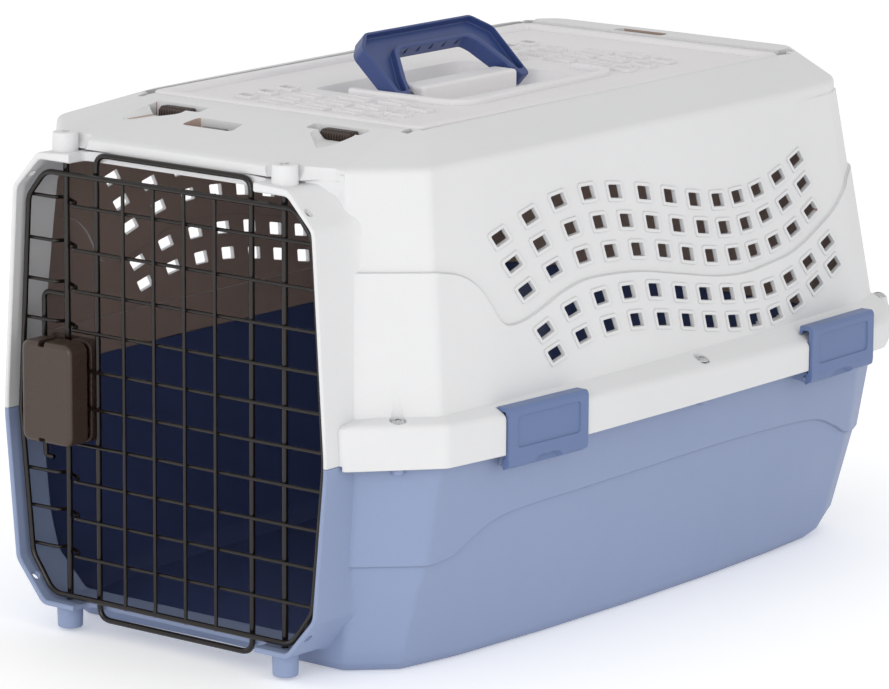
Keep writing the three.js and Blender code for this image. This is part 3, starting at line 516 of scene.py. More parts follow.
SEC = {
    0: [[0, 50], [108, 48], [133, 73], [141, 120], [146, 200], [148, 290], [147, 380], [143, 460], [138, 512], [122, 540], [96, 551], [0, 553]],
    6: [[0, 43], [113, 42], [139, 68], [148, 120], [152, 200], [154, 290], [153, 380], [150, 460], [145, 515], [129, 547], [101, 558], [0, 560]],
    16: [[0, 37], [117, 38], [143, 64], [151.5, 120], [155.5, 200], [157.5, 290], [156.5, 380], [153.5, 460], [149, 518], [134, 551], [106, 561], [0, 563]],
    70: [[0, 30], [128, 29.5], [161, 62.5], [164, 120], [167, 200], [168, 290], [167, 380], [165, 460], [162, 522], [147, 556], [122, 566], [0, 568]],
    137: [[0, 29], [133.5, 28.5], [170.5, 65], [173.5, 120], [175.5, 200], [176, 290], [175, 380], [173, 460], [170, 525], [157, 561], [132, 570], [0, 572]],
    165: [[0, 29], [132, 28.5], [169.5, 65.5], [172.5, 120], [174.5, 200], [175, 290], [174, 380], [171.5, 460], [168.5, 525], [156, 559], [131, 568], [0, 570]],
    319: [[0, 36.5], [118, 36.5], [154, 74], [157, 120], [160, 200], [161, 290], [160, 380], [156, 460], [151, 512], [141, 532], [116, 543], [0, 547]],
}
for k in SEC:
    h = SEC[k]
    SEC[k] = [h[0], [h[1][0] * 0.68, h[1][1]]] + h[1:]
RAD = [1, 8, 7, 8, 150, 150, 150, 150, 150, 22, 16, 22, 1]
EAVE2 = [[0, 14], [98, 14], [118, 36.5], [154, 74], [157, 120], [160, 200], [161, 290], [160, 380], [156, 460], [151, 512], [141, 532], [116, 543], [0, 547]]
EAVE = [[x, y, EAVE_Z + (max(0, x - 155) * 0.28) + (1.3 if y < 20 else 0)] for x, y in EAVE2]
FLAT = [[0, 104, 333.5], [83, 104, 333.5], [100, 106, 333.5], [117, 114, 333.5], [119, 130, 333.8], [120.5, 200, 334.6], [121.5, 290, 335], [121, 380, 335.3], [119.5, 460, 335.5], [117.5, 508, 335.6], [110, 526, 335.7], [95, 535, 335.7], [0, 537, 335.7]]
SKIRT = [[0, 40], [122, 22], [134.4, 9], [180, 61], [186, 112], [191, 198], [192.3, 290], [192, 380], [191.5, 460], [189.5, 528], [162, 580], [134, 588], [0, 588]]
LEDGE_Z = [166, 166, 166, 165, 163, 161.5, 160, 158, 156, 155.5, 155.5, 155.5, 155.5]
COLLAR = [[0, 16], [103, 16], [125.5, 43], [134.5, 141], [124.6, 287], [103.5, 310.5], [0, 316]]
WAVE = [[-20, 258], [71, 256], [93, 251], [108, 242], [118, 230], [126, 219], [135, 214], [151, 215], [169, 220], [190, 227], [214, 231], [245, 230], [274, 227], [321, 218], [353, 212], [386, 209], [420, 211], [445, 214], [476, 224], [504, 236], [526, 252], [560, 262], [620, 262]]
STEP = [[-20, 74], [70, 73.5], [86, 76], [103, 85], [120, 92], [145, 95.5], [200, 97], [330, 99], [400, 98.5], [470, 95], [500, 86], [518, 77.5], [540, 74], [620, 74]]


def full(half):
    """Right half from the front middle to the rear middle, mirrored to a closed counter-clockwise ring."""
    left = [[-p[0], *p[1:]] for p in half if p[0] > 1e-6][::-1]
    return half + left


def full_rad(rad, half):
    left = [r for r, p in zip(rad, half) if p[0] > 1e-6][::-1]
    return rad + left


def section(z):
    ks = sorted(SEC)
    for a, b in zip(ks, ks[1:]):
        if z <= b:
            k = (z - a) / (b - a)
            return [[p[0] + (q[0] - p[0]) * k, p[1] + (q[1] - p[1]) * k] for p, q in zip(SEC[a], SEC[b])]
    return SEC[319]


def R(z, off=0.0, at=None):
    s = section(z)
    return rounded(full(s), full_rad(RAD, s), off, 4, at if at is not None else z)


def mix(a, b, k):
    return [[u + (v - u) * k for u, v in zip(p, q)] for p, q in zip(a, b)]


def blend_rings(A, B, C, ts=(0, 0.25, 0.5, 0.75, 1)):
    return [(1 - t) ** 2 * A + 2 * t * (1 - t) * B + t * t * C for t in ts]


def half_box(z0, z1):
    return box(-260, 260, -60, 660, z0, z1)


def side_prism(line, z_end, x=220):
    return prism("side", [[p[0], p[1]] for p in line] + [[line[-1][0], z_end], [line[0][0], z_end]], "x", -x, x)


# ------------------------------------------------------------------ mouth collar
COLLAR_RAD = [1, 9, 12, 120, 12, 9, 1]
FLARE = [(0, -1.0), (0.3, -0.3), (1.1, 0), (10, -0.2), (20, -0.1), (28, 0.1), (32, 0.5), (36, 1.3), (40, 2.4), (44, 4.0)]


def collar(z0, z1):
    rings = []
    for y, grow in FLARE:
        r = rounded(full(COLLAR), full_rad(COLLAR_RAD, COLLAR), -grow, 5)
        r[:, 1] = np.minimum(r[:, 1], 318)
        rings.append(to_axis(r, "y", y))
    return common(loft("collar", rings), half_box(z0, z1))


def collar_inner():
    half = [[0, 19.4], [101.2, 19.4], [122.2, 44], [131.2, 141], [121.4, 286], [102, 306], [0, 306]]
    rings = []
    for y, off in ((-5, -0.9), (0.0, -0.9), (0.9, 0), (50, 0)):
        rings.append(to_axis(rounded(full(half), full_rad([1, 7, 10, 120, 10, 7, 1], half), off, 5), "y", y))
    return loft("mouth", rings)


def clip_frame(y):
    def at(yy):
        for i in range(3, len(SKIRT) - 1):
            a, b = SKIRT[i], SKIRT[i + 1]
            if a[1] <= yy <= b[1]:
                return a[0] + (b[0] - a[0]) * (yy - a[1]) / (b[1] - a[1])
        return 190.0

    slope = (at(y + 36) - at(y - 36)) / 72
    return (at(y + 20) + at(y - 20)) / 2, y, math.atan(slope)


def place(ob, c, side):
    ob.data.transform(Matrix.Translation((c[0], c[1], 0)) @ Matrix.Rotation(-c[2], 4, "Z"))
    if side < 0:
        ob.data.transform(Matrix.Diagonal((-1, 1, 1, 1)))
        ob.data.flip_normals()
    return ob


CLIP_Y = [150.0, 472.0]
SCREWS = [[154.5, 43.5, 164.5], [183.5, 321, 161.5], [152, 575, 160.5]]
PX = -7.2

# ------------------------------------------------------------------ vents
ROWS = [
    [[133, 269], [163, 278], [192, 284], [222, 285], [250, 282], [280, 277], [308, 271], [335, 265], [361, 261], [384, 260], [408, 261], [434, 266], [458, 274]],
    [[144, 251], [172, 260], [203, 265], [232, 265], [260, 262], [287, 257], [315, 251], [342, 246], [367, 242], [392, 241], [416, 243], [441, 248], [465, 257]],
    [[155, 233], [183, 242], [213, 246], [242, 245], [270, 242], [298, 237], [324, 231], [350, 226], [376, 223], [400, 222], [425, 224], [449, 229], [472, 238]],
    [[168, 206], [196, 215], [226, 218], [255, 217], [283, 214], [311, 208], [338, 203], [364, 199], [389, 196], [413, 195], [438, 198], [463, 205], [488, 214]],
    [[177, 190], [205, 197], [234, 199], [262, 198], [290, 194], [317, 189], [343, 184], [369, 180], [394, 177], [419, 177], [444, 181], [470, 189], [494, 198]],
]


def vent(y, z, m, grow=0.0):
    hx = 6.3 + grow
    w = (-1.6 - 4 * m) * (1 + grow / 4.4), (4.45 - 2.4 * max(0, m)) * (1 + grow / 4.4)
    h = (hx, hx * m)
    return [
        [y - h[0] - w[0], z - h[1] - w[1]],
        [y + h[0] - w[0], z + h[1] - w[1]],
        [y + h[0] + w[0], z + h[1] + w[1]],
        [y - h[0] + w[0], z - h[1] + w[1]],
    ]


def vents(grow, rad, rows, x=230):
    parts = []
    for row in rows:
        for i, (y, z) in enumerate(row):
            a, b = row[max(0, i - 1)], row[min(len(row) - 1, i + 1)]
            m = (b[1] - a[1]) / (b[0] - a[0])
            parts.append(raw_loft(slab_rings(vent(y, z, m, grow), "x", -x, x, rad, n=3)))
    return many("vents", parts)


# ------------------------------------------------------------------ upper shell
EAVE_RAD = [1, 10, 6, 8, 150, 150, 150, 150, 150, 22, 16, 22, 1]
CREST = [[0, 104, 333.5], [83, 104, 333.5], [100, 106, 333.5], [117, 114, 333.5], [118.6, 130, 333.9], [119.2, 200, 334.4], [119.6, 290, 334.7], [119.2, 380, 334.9], [118, 460, 335.3], [114, 508, 335.7], [108, 528, 335.8], [97.5, 538, 335.8], [0, 539, 335.8]]
CREST_RAD = [1, 8, 8, 8, 40, 100, 100, 100, 60, 14, 10, 12, 1]
LID = [[0, LID_Y0], [106, LID_Y0], [112.2, LID_Y0 + 5], [113.6, 200], [114.3, 290], [114.0, 380], [113, 460], [111.6, LID_Y1 - 7], [104, LID_Y1], [0, LID_Y1]]
LID_RAD = [1, 6, 7, 150, 200, 200, 150, 8, 7, 1]


def lid_ring(off, z):
    return rounded(full(LID), full_rad(LID_RAD, LID), off, 4, z)


def eave_ring(off=0.0, dz=0.0, flat=None):
    r = rounded(full(EAVE), full_rad(EAVE_RAD, EAVE), off, 4)
    r[:, 2] = flat if flat is not None else r[:, 2] + dz
    return r


def crest_ring(off=0.0):
    return rounded(full(CREST), full_rad(CREST_RAD, CREST), off, 4)


def upper_shell():
    E, C = eave_ring(), crest_ring()
    rings = [R(z) for z in (RIM_Z, 165, 200, 240, 280, 311.4)]
    def lean(dz):
        r = eave_ring(0, dz)
        w = R(EAVE_Z + dz)
        keep = (r[:, 1] < 36) | (r[:, 1] > 500)
        r[~keep, :2] = w[~keep, :2]
        return r
    rings += [lean(-7.0)]
    rings += blend_rings(lean(-3.4), E, E + (C - E) * 0.085)
    rings += blend_rings(E + (C - E) * 0.965, C, crest_ring(1.2), (0, 0.33, 0.67, 1)) + [crest_ring(2.2)]
    s = loft("upper", rings)
    # wave panel, its edge stepped down in two soft stages
    wave = spline(WAVE[1:-1], 5)
    for off, up in ((-1.6, 0.45), (-2.0, 0)):
        line = [[-20, 258 + up]] + [[p[0], p[1] + up] for p in wave] + [[620, 262 + up]]
        union(s, common(loft("p", [R(z, off) for z in (RIM_Z, 165, 200, 240, 280, 300)]), side_prism(line, RIM_Z - 5)))
    # raised rims of the vents
    union(s, common(loft("p", [R(z, -0.9) for z in (165, 200, 240, 280, 305)]), vents(2.3, 2.0, ROWS[:3])))
    union(s, common(loft("p", [R(z, -2.9) for z in (165, 200, 240, 280, 305)]), vents(2.3, 2.0, ROWS[3:])))
    # rim: skirt and sloping ledge
    def sk(off, z=None):
        pts = [[*p, z if z is not None else h] for p, h in zip(SKIRT, LEDGE_Z)]
        return rounded(full(pts), full_rad([1, 10, 8, 10, 60, 150, 150, 150, 150, 24, 24, 12, 1], pts), off, 4)
    s12 = [section(169)[0]] + section(169)[2:]
    top = [[0, 36]] + [[s12[1][0] - 18, s12[1][1] - 14], [s12[2][0] - 18, s12[2][1] - 14]] + s12[2:]
    T = rounded(full(top), full_rad([1, 6, 8, 8, 60, 150, 150, 150, 150, 20, 16, 20, 1], top), 1.0, 4, 169.8)
    O = sk(0)
    low = sk(0)
    low[:, 2] -= 3.2
    skirt = loft("skirt", [sk(0.9, SKIRT_Z), sk(0.25, SKIRT_Z + 0.25), sk(0, SKIRT_Z + 0.9)] + blend_rings(low, O, O + (T - O) * 0.22) + [O + (T - O) * 0.8, T])
    cut(skirt, box(-131, 131, -20, 60, 100, 200), box(-136, 136, -20, 34, 100, PART_Z + 0.3))
    union(s, collar(PART_Z + 0.3, 400), skirt)
    cut(s, cut(loft("rs", [sk(WALL, SKIRT_Z - 2), sk(WALL, RIM_Z + 0.2)]), box(-134.6, 134.6, -20, 30, PART_Z + 0.3, 170)))
    hollow = loft("h", [R(140, WALL), R(165, 2.3), R(EAVE_Z, 2.3, EAVE_Z - 2)])
    A, B = R(EAVE_Z, WALL + 0.5), R(EAVE_Z, 38)
    A1, B1 = A.copy(), A + (B - A) * 0.9
    A1[:, 2], B1[:, 2] = EAVE_Z - 4, 327
    union(hollow, loft("h2", [A1, B1]))
    cut(hollow, box(-200, 200, -20, 111, 317.5, 360))
    back = [[60, 250]] + [[p[0], p[1] - 3] for p in wave if 75 < p[0] < 525] + [[540, 250]]
    union(hollow, common(loft("h3", [R(z, 0.4) for z in (172, 200, 240, 280)]), side_prism(back, 174)))
    cut(s, hollow, collar_inner())
    cut(s, box(-101, 101, 62, 75, 314, 320))
    for k in (-1, 1):
        cut(s, box(k * 68.5 - 24.5, k * 68.5 + 24.5, 74, 99, 314, 320))
    # the hood is set back behind the tongues that carry the rod bosses, with a concave foot
    for k in (-1, 1):
        rings = []
        for z, d in ((311.8, 0), (312.2, 2.6), (313.4, 5.2), (315.4, 7.2), (318, 8.8), (322, 10.2), (345, 10.2)):
            pts = [[k * 72, -10], [k * 150, -10], [k * 150, 36.1], [k * 119, 36.1], [k * 112, 35.1], [k * 105, 29], [k * 98, 13 + d], [k * (80 - d * 0.4), 13 + d], [k * (76 - d * 0.3), 11 + d * 0.6], [k * 72, 6]]
            rings.append(rounded(ccw(pts), [0.3] * 10, 0, 3, z))
        cut(s, loft("ramp", rings))
        cut(s, prism("foot", ccw([[k * 97, -10], [k * 150, -10], [k * 150, 36.1], [k * 119, 36.1], [k * 112, 35.1], [k * 105, 29], [k * 98, 20], [k * 97, 13]]), "z", 310.9, 313))
        fill = prism("fill", ccw([[k * 76.5, 23.4], [k * 98, 23.4], [k * 105, 29.2], [k * 112, 35.2], [k * 117.6, 36.2], [k * 118, 38.4], [k * 76.5, 38.4]]), "z", 296, 316)
        cut(fill, collar_inner())
        union(s, fill)
    cut(s, box(-74, 74, 17.2, 60, 300, 316.4, rad=4))
    for x in (-ROD_X, ROD_X):
        union(s, cyl([x, ROD_Y + 0.2, 308], [x, ROD_Y + 0.2, 323.5], 8.5, 8.1, 40, 1.0))
    cut(s, box(-76, 76, -5, 15.2, 300, 330, rad=5))
    for x in (-ROD_X, ROD_X):
        y = LATCH_Y if x < 0 else ROD_Y
        cut(s, cyl([x, y, 300], [x, y, 340], 2.6))
    # the rod's end is staked in a small cross on the hinge side
    cut(s, box(ROD_X - 4.2, ROD_X + 4.2, ROD_Y - 0.9, ROD_Y + 0.9, 321.6, 330), box(ROD_X - 0.9, ROD_X + 0.9, ROD_Y - 4.2, ROD_Y + 4.2, 321.6, 330))
    # opening of the roof door, with a softened lip
    cut(s, loft("open", [lid_ring(-1.4, 300), lid_ring(-1.4, 345)]))
    for x in (-LID_AXIS_X, LID_AXIS_X):
        cut(s, cyl([x, LID_Y0 - 1.2, LID_AXIS_Z], [x, LID_Y1 + 1.2, LID_AXIS_Z], 7.9, n=32))
        edge = sorted((x * 105 / LID_AXIS_X, x * 115.7 / LID_AXIS_X))
        cut(s, box(edge[0], edge[1], 430, 512, 330.5, 350, rad=2.5))
        cut(s, box(x - 3, x + 3, LID_Y0 - 11, LID_Y0 + 1, LID_AXIS_Z - 3, 360, rad=1.2), box(x - 3, x + 3, LID_Y1 - 1, LID_Y1 + 11, LID_AXIS_Z - 3, 360, rad=1.2))
    for y, d in ((LID_Y0 - 1.2, -1), (LID_Y1 + 1.2, 1)):
        y0 = min(y, y + d * 3)
        union(s, box(-LID_X + 12, LID_X - 12, y0, y0 + 3, 320.5, 330))
    # finger slot in the middle of the hood, rear notch and thumb scoops over the slides
    cut(s, loft("slot", slab_rings([[-37, 62], [5, 62], [1, 78], [-36, 78]], "z", 319, 345, 4)))
    cut(s, slab("n", [[-37, LID_Y1 + 3.4], [5, LID_Y1 + 3.4], [5, LID_Y1 + 13.4], [-37, LID_Y1 + 13.4]], "z", 319, 345, 3))
    for k in (-1, 1):
        def sc(pts, rad, z):
            return rounded(ccw([[k * x, y] for x, y in pts]), rad, 0, 5, z)
        ramp = [
            (325.2, 4, [[79, 60], [81.5, 65], [81, 90], [61.5, 90], [60.5, 80]]),
            (325.9, 6, [[80.5, 55], [83.2, 62], [82.6, 90], [59.4, 90], [58.4, 80]]),
            (327.2, 7, [[81.5, 52], [84.5, 61], [84, 90], [58, 90], [56.8, 80]]),
            (329.2, 8, [[82.5, 49], [86.5, 62], [85.5, 90], [55.8, 90], [54.4, 80]]),
            (342, 9, [[83, 45], [89, 62], [86.5, 90], [52, 90], [50.5, 80]]),
        ]
        cut(s, loft("scoop", [sc(pts, r, z) for z, r, pts in ramp]))
        cut(s, slab("slot", ccw([[k * 44, 87.2], [k * 88, 86.8], [k * 88, 98.2], [k * 44, 97.8]]), "z", 316, 345, 2.5))
    cut(s, vents(0, 0.9, ROWS))
    for side in (-1, 1):
        for y in CLIP_Y:
            c = clip_frame(y)
            w = CLIP_W / 2 + 0.8
            cut(s, place(box(-2.6, 30, -w, w, 120, 200), c, side), place(box(-9.4, 30, -w, w, 161.2, 200), c, side))
    for x, y, z in SCREWS:
        for k in (-1, 1):
            if y > 400:
                union(s, cyl([k * x, y, z - 7], [k * x, y, z + 1.2], 7.6, 6.2, 36, 0.7))
            cut(s, cyl([k * x, y, 130], [k * x, y, 190], 2.3), cyl([k * x, y, z], [k * x, y, 190], 5.2, n=36))
    for k in (-1, 1):
        cut(s, cyl([k * 107, 5.5, 286], [k * 121, 5.5, 305], 3))
    return s


# ------------------------------------------------------------------ lower shell
def lower_shell():
    s = loft("lower", [R(z) for z in (0, 0.6, 2, 4, 6, 9, 12, 16, 24, 40, 70, 100, 137, 149)])
    step = spline(STEP[1:-1], 5)
    for off, down in ((-1.7, 0.5), (-2.2, 0)):
        line = [[-20, 74 - down]] + [[p[0], p[1] - down] for p in step] + [[620, 74 - down]]
        union(s, common(loft("p", [R(z, off) for z in (60, 70, 100, 137, 149)]), side_prism(line, 149)))
    union(s, collar(-5, PART_Z))
    rim = rounded(full(SKIRT), full_rad([1, 10, 8, 10, 60, 150, 150, 150, 150, 24, 24, 12, 1], SKIRT), 4.2, 4, 145)
    r2 = rim.copy()
    r2[:, 2] = RIM_Z - 0.3
    union(s, loft("rim", [rim, r2]))
    hollow = loft("h", [R(6, WALL + 5, 3), R(8, WALL + 2), R(12, WALL + 0.4), R(16, WALL), R(40, WALL), R(70, WALL), R(100, WALL), R(137, WALL), R(152, WALL)])
    h2 = copy(hollow)
    cut(s, hollow, collar_inner())
    cut(s, box(-137, 137, -10, 34, PART_Z, 160))
    for x in (-ROD_X, ROD_X):
        union(s, cyl([x, ROD_Y + 0.2, 18], [x, ROD_Y + 0.2, 1.5], 8.5, 8.1, 40, 1.2))
    cut(s, box(-76, 76, -5, 15.2, 0, 30, rad=5))
    for x in (-ROD_X, ROD_X):
        y = LATCH_Y if x < 0 else ROD_Y
        cut(s, cyl([x, y, 5], [x, y, 30], 2.6))
    for side in (-1, 1):
        for y in CLIP_Y:
            c = clip_frame(y)
            for e in (-CLIP_W / 2 + 9, CLIP_W / 2 - 9):
                nose = [[PX + 3.5 * math.cos(a * D2R), PIVOT_Z + 3.5 * math.sin(a * D2R)] for a in (75, 60, 45, 30, 15, 0, -15, -30, -45, -60, -75, -90, -105, -120, -140)]
                ear = place(prism("ear", [[PX - 17, 129.6], [PX - 17, 145.4], [PX + 1, 145.4]] + nose, "y", e - 3, e + 3), c, side)
                cut(ear, copy(h2))
                union(s, ear)
            cut(s, place(cyl([PX, -60, PIVOT_Z], [PX, 60, PIVOT_Z], 1.8), c, side))
    for x, y, _ in SCREWS:
        for k in (-1, 1):
            union(s, cyl([k * x, y, 134], [k * x, y, 147], 4.2))
            cut(s, cyl([k * x, y, 136.5], [k * x, y, 152], 2.15))
    for k in (-1, 1):
        cut(s, cyl([k * 106, 5.5, 42], [k * 120, 5.5, 24], 3))
    drop(h2)
    return cut(s, half_box(RIM_Z - 0.3, 400))


def paint_inside_shade(ob, index):
    """Faces of the cabin's inside get the second material, a darker copy of the shell plastic that paints the shade
    there; ob is in millimetres here.
    """
    cache = {}
    for p in ob.data.polygons:
        c, n = p.center, p.normal
        if c.y < 46 or c.z > 326:
            continue
        z = min(max(round(c.z), 6), 316)
        if z not in cache:
            cache[z] = R(z, 0.25 if z > 160 else 1.5)[:, :2]
        q = cache[z]
        x1, y1, x2, y2 = q[:, 0], q[:, 1], np.roll(q[:, 0], -1), np.roll(q[:, 1], -1)
        hit = ((y1 > c.y) != (y2 > c.y)) & (c.x < x1 + (x2 - x1) * (c.y - y1) / np.where(y2 == y1, 1e-9, y2 - y1))
        if hit.sum() % 2 == 0:
            continue
        wall = n.x * (1 if c.x > 0 else -1) < -0.3 or (n.y < -0.3 and c.y > 480) or (n.y > 0.3 and c.y < 85)
        if wall or (n.z < -0.4 and c.z > 300) or (n.z > 0.4 and c.z < 16):
            p.material_index = index


# the second material of each shell is a darker copy that paints the shade inside the cabin
for fn, name, mats, slot, node in (
    (upper_shell, "upper_shell", [M_LIGHT, M_LIGHT_PAINTED_SHADE], "shell_light", "top_shell"),
    (lower_shell, "lower_shell", [M_BLUE, M_BLUE_PAINTED_SHADE], "shell_blue", "bottom_shell"),
):
    ob = fn()
    put(ob, name, "shell", node, material=mats, slot=slot)
    back = Matrix.Translation((0, -Y_SHIFT, 0)) @ Matrix.Scale(1000, 4)
    ob.data.transform(back)
    paint_inside_shade(ob, 1)
    ob.data.transform(back.inverted())


# ------------------------------------------------------------------ screws and pins
def screw(x, y, seat, r=5.0, shank=1.9, z0=138.0):
    seat += 0.6 if r > 3 else 0
    prof = [(0.01, z0), (shank * 0.6, z0), (shank, z0 + 1.5), (shank, seat + 0.3), (r - 0.3, seat + 0.3), (r, seat + 0.55), (r, seat + 1.0), (r * 0.93, seat + 1.5), (r * 0.78, seat + 2.2), (r * 0.55, seat + 2.75), (r * 0.28, seat + 3.1), (0.01, seat + 3.2)]
    n = 36
    rings = [[[x + q * math.cos(2 * math.pi * i / n), y + q * math.sin(2 * math.pi * i / n), z] for i in range(n)] for q, z in prof]
    s = loft("screw", rings)
    a = r * 0.52
    return cut(s, box(x - a, x + a, y - 0.5, y + 0.5, seat + 1.1, seat + 9), box(x - 0.5, x + 0.5, y - a, y + a, seat + 1.1, seat + 9))


for side, k in (("right", 1), ("left", -1)):
    for i, (x, y, z) in enumerate(SCREWS):
        put(screw(k * x, y, z), f"screw_{side}_{i + 1}", "shell", f"rim_screw_{side}_{i + 1}", material=M_ZINC, slot="zinc")


# ------------------------------------------------------------------ side clips
def clip_body():
    prof = [[-1.9, 128.5], [1.5, 130.5], [2, 134], [2, 165], [0.5, 167.6], [-8.6, 167.6], [-9, 162.4], [-7.4, 161.6], [-6.4, 164.4], [-1.7, 164.4], [-1.7, 136], [-4.5, 134.6], [-9.3, 134.6], [-10.4, 132.4], [-10.4, 129], [-8.8, 127.2], [-4.6, 127.2]]
    w = CLIP_W / 2
    rad = [1.5, 1.5, 2, 1.8, 1.6, 1.2, 0.6, 0.5, 0.8, 0.8, 1, 1.2, 1, 1, 1, 1.2, 1.5]
    p = ccw(prof)
    if p[0] != list(prof[0]):
        rad = rad[::-1]
    rings = []
    for h, off in ((-w, 0.7), (-w + 0.2, 0.2), (-w + 0.7, 0), (w - 0.7, 0), (w - 0.2, 0.2), (w, 0.7)):
        rings.append(to_axis(rounded(p, rad, off, 4), "y", h))
    s = loft("clip", rings)
    # recessed panel on the face with rounded corners
    panel = [[-w + 8, 141.5], [w - 8, 141.5], [w - 8, 161.5], [-w + 8, 161.5]]
    cut(s, loft("panel", [to_axis(rounded(panel, 3, o, 5), "x", x) for x, o in ((1.15, 0.5), (1.35, 0.15), (1.7, 0.0), (5, 0))]))
    # arched finger notch in the lower edge
    arch = [[-15, 120], [15, 120], [15, 129.5], [9, 133.4], [-9, 133.4], [-15, 129.5]]
    cut(s, loft("arch", [to_axis(rounded(arch, [1, 1, 6, 9, 9, 6], o, 5), "x", x) for x, o in ((-2.6, 1.5), (0.2, 0.2), (5, -1.2))]))
    for e in (-w + 9, w - 9):
        cut(s, box(-16, -3.4, e - 3.5, e + 3.5, 120, 136.4))
    cut(s, box(-16, -3.4, -w - 2, -w + 5.5, 120, 136.4), box(-16, -3.4, w - 5.5, w + 2, 120, 136.4))
    cut(s, cyl([PX, -w - 5, PIVOT_Z], [PX, w + 5, PIVOT_Z], 1.8))
    return s


for side, k in (("right", 1), ("left", -1)):
    for y, tag in zip(CLIP_Y, ("front", "rear")):
        c = clip_frame(y)
        put(place(clip_body(), c, k), f"clip_{side}_{tag}_body", f"clip_{side}_{tag}", f"side_clip_{side}_{tag}", material=M_CLIP, slot="clip_blue")
        pin = mesh_object("pin", *tube_raw([[PX, -CLIP_W / 2 + 5.4, PIVOT_Z], [PX, 0, PIVOT_Z], [PX, CLIP_W / 2 - 5.4, PIVOT_Z]], 1.5, 20))
        put(place(pin, c, k), f"pin_{side}_{tag}", "shell", f"side_clip_pin_{side}_{tag}", material=M_ZINC, slot="zinc")

# ------------------------------------------------------------------ front door
FRAME = [[-100, 23.5], [100, 23.5], [117, 47], [126, 141], [117.5, 280], [103, 297.5], [-103, 297.5], [-117.5, 280], [-126, 141], [-117, 47]]
BARS_Z = [277, 249, 222.6, 197, 172.2, 148, 123.5, 98.4, 74, 49.3]
BARS_X = [-37.95, -12.65, 12.65, 37.95]
HX0, HX1, HZ0, HZ1 = -111.5, -69.0, 125.0, 191.0


def half_width(z):
    p = FRAME[1:6]
    return float(np.interp(z, [q[1] for q in p], [q[0] for q in p]))


def grille():
    parts = [tube_raw(fillet_path([[p[0], 7.6, p[1]] for p in FRAME], 14, True, 8), 1.8, 16, True)]
    for x in BARS_X:
        parts.append(tube_raw([[x, 7.95, 22.4], [x, 7.95, 160], [x, 7.95, 298.4]], 1.25, 14))
    for z in BARS_Z:
        w = half_width(z)
        if z + 4 > HZ0 and z < HZ1:
            path = [[w + 0.6, 9.9, z], [0, 9.9, z], [-half_width(z) - 0.6, 9.9, z]]
        else:
            path = fillet_path([[w + 0.6, 9.9, z], [-83.2, 9.9, z], [-85.6, 17.2, z + 0.6], [-95.2, 17.2, z + 3.4], [-97.6, 9.9, z + 4], [-half_width(z + 4) - 0.6, 9.9, z + 4]], 3.2, False, 5)
        parts.append(tube_raw(path, 1.2, 14))
    lx, lz0, lz1 = 64, 11, 311.5
    parts.append(tube_raw(fillet_path([[-lx, 12.4, lz0], [lx, 12.4, lz0], [lx, 12.4, lz1], [-lx, 12.4, lz1]], 9, True, 10), 1.9, 16, True))
    parts.append(tube_raw([[ROD_X, ROD_Y, 6.5], [ROD_X, ROD_Y, 160], [ROD_X, ROD_Y, 319.5]], 2.0, 20))
    return many("grille", parts)


put(grille(), "door_wires", "front_door", "front_door_grille", material=M_WIRE, slot="wire_bronze", angle=60)


def rounded_rect(x0, x1, z0, z1):
    return [[x0, z0], [x1, z0], [x1, z1], [x0, z1]]


POSTS = [[-77, 136], [-77, 184], [-101, 186.6]]


def housing():
    rings = []
    for y, o in ((-8, 3.0), (-7.9, 2.2), (-7.4, 1.1), (-6.6, 0.35), (-5.4, 0.0), (7.6, 0.0), (8.0, 0.4)):
        rings.append(to_axis(rounded(rounded_rect(HX0, HX1, HZ0, HZ1), 7, o, 6), "y", y))
    s = loft("housing", rings)
    # shallow dished face
    cut(s, loft("dish", [to_axis(rounded(rounded_rect(HX0 + 5, HX1 - 5, HZ0 + 6, HZ1 - 6), 6, o, 6), "y", y) for y, o in ((-12, -0.6), (-8.0, -0.4), (-7.55, 0.8))]))
    cut(s, slab("in", rounded_rect(HX0 + 2.2, HX1 - 2.2, HZ0 + 2.2, HZ1 - 2.2), "y", -5.6, 9, 5))
    # the wires that leave the box pass through its end walls
    for x, z0 in ((-110.5, HZ1), (-90.4, HZ1), (-110.5, HZ0), (-90.4, HZ0)):
        cut(s, box(x - 2.6, x + 2.6, 7.0, 20, z0 - 4, z0 + 4))
    for z, d in ((HZ0, 1), (HZ1, -1)):
        notch = [[-96.8, z - d * 4], [-91.4, z - d * 4], [-91.4, z + d * 3.4], [-96.8, z + d * 3.4]]
        cut(s, slab("notch", notch, "y", -20, 9, 0.8))
    for x, z in POSTS:
        union(s, cyl([x, -6.5, z], [x, 5.3, z], 3.6))
        cut(s, cyl([x, -3, z], [x, 8, z], 1.35))
    return s


put(housing(), "latch_box", "front_door", "front_latch_housing", material=M_BROWN, slot="latch_brown")


def back_plate():
    s = slab("plate", rounded_rect(HX0, HX1, HZ0, HZ1), "y", 18.8, 21.4, 7, 0.0, 0.9)
    rim = slab("rim", rounded_rect(HX0, HX1, HZ0, HZ1), "y", 11.7, 19.4, 7, 0.3, 0)
    cut(rim, slab("in", rounded_rect(HX0 + 2, HX1 - 2, HZ0 + 2, HZ1 - 2), "y", 8, 18.8, 5), box(-130, -85, 5, 18.8, 100, 220))
    union(s, rim)
    for x, z in POSTS:
        union(s, cyl([x, 5.7, z], [x, 20, z], 2.6))
        cut(s, cyl([x, 0, z], [x, 30, z], 1.35), cyl([x, 20.2, z], [x, 30, z], 2.4))
    return s


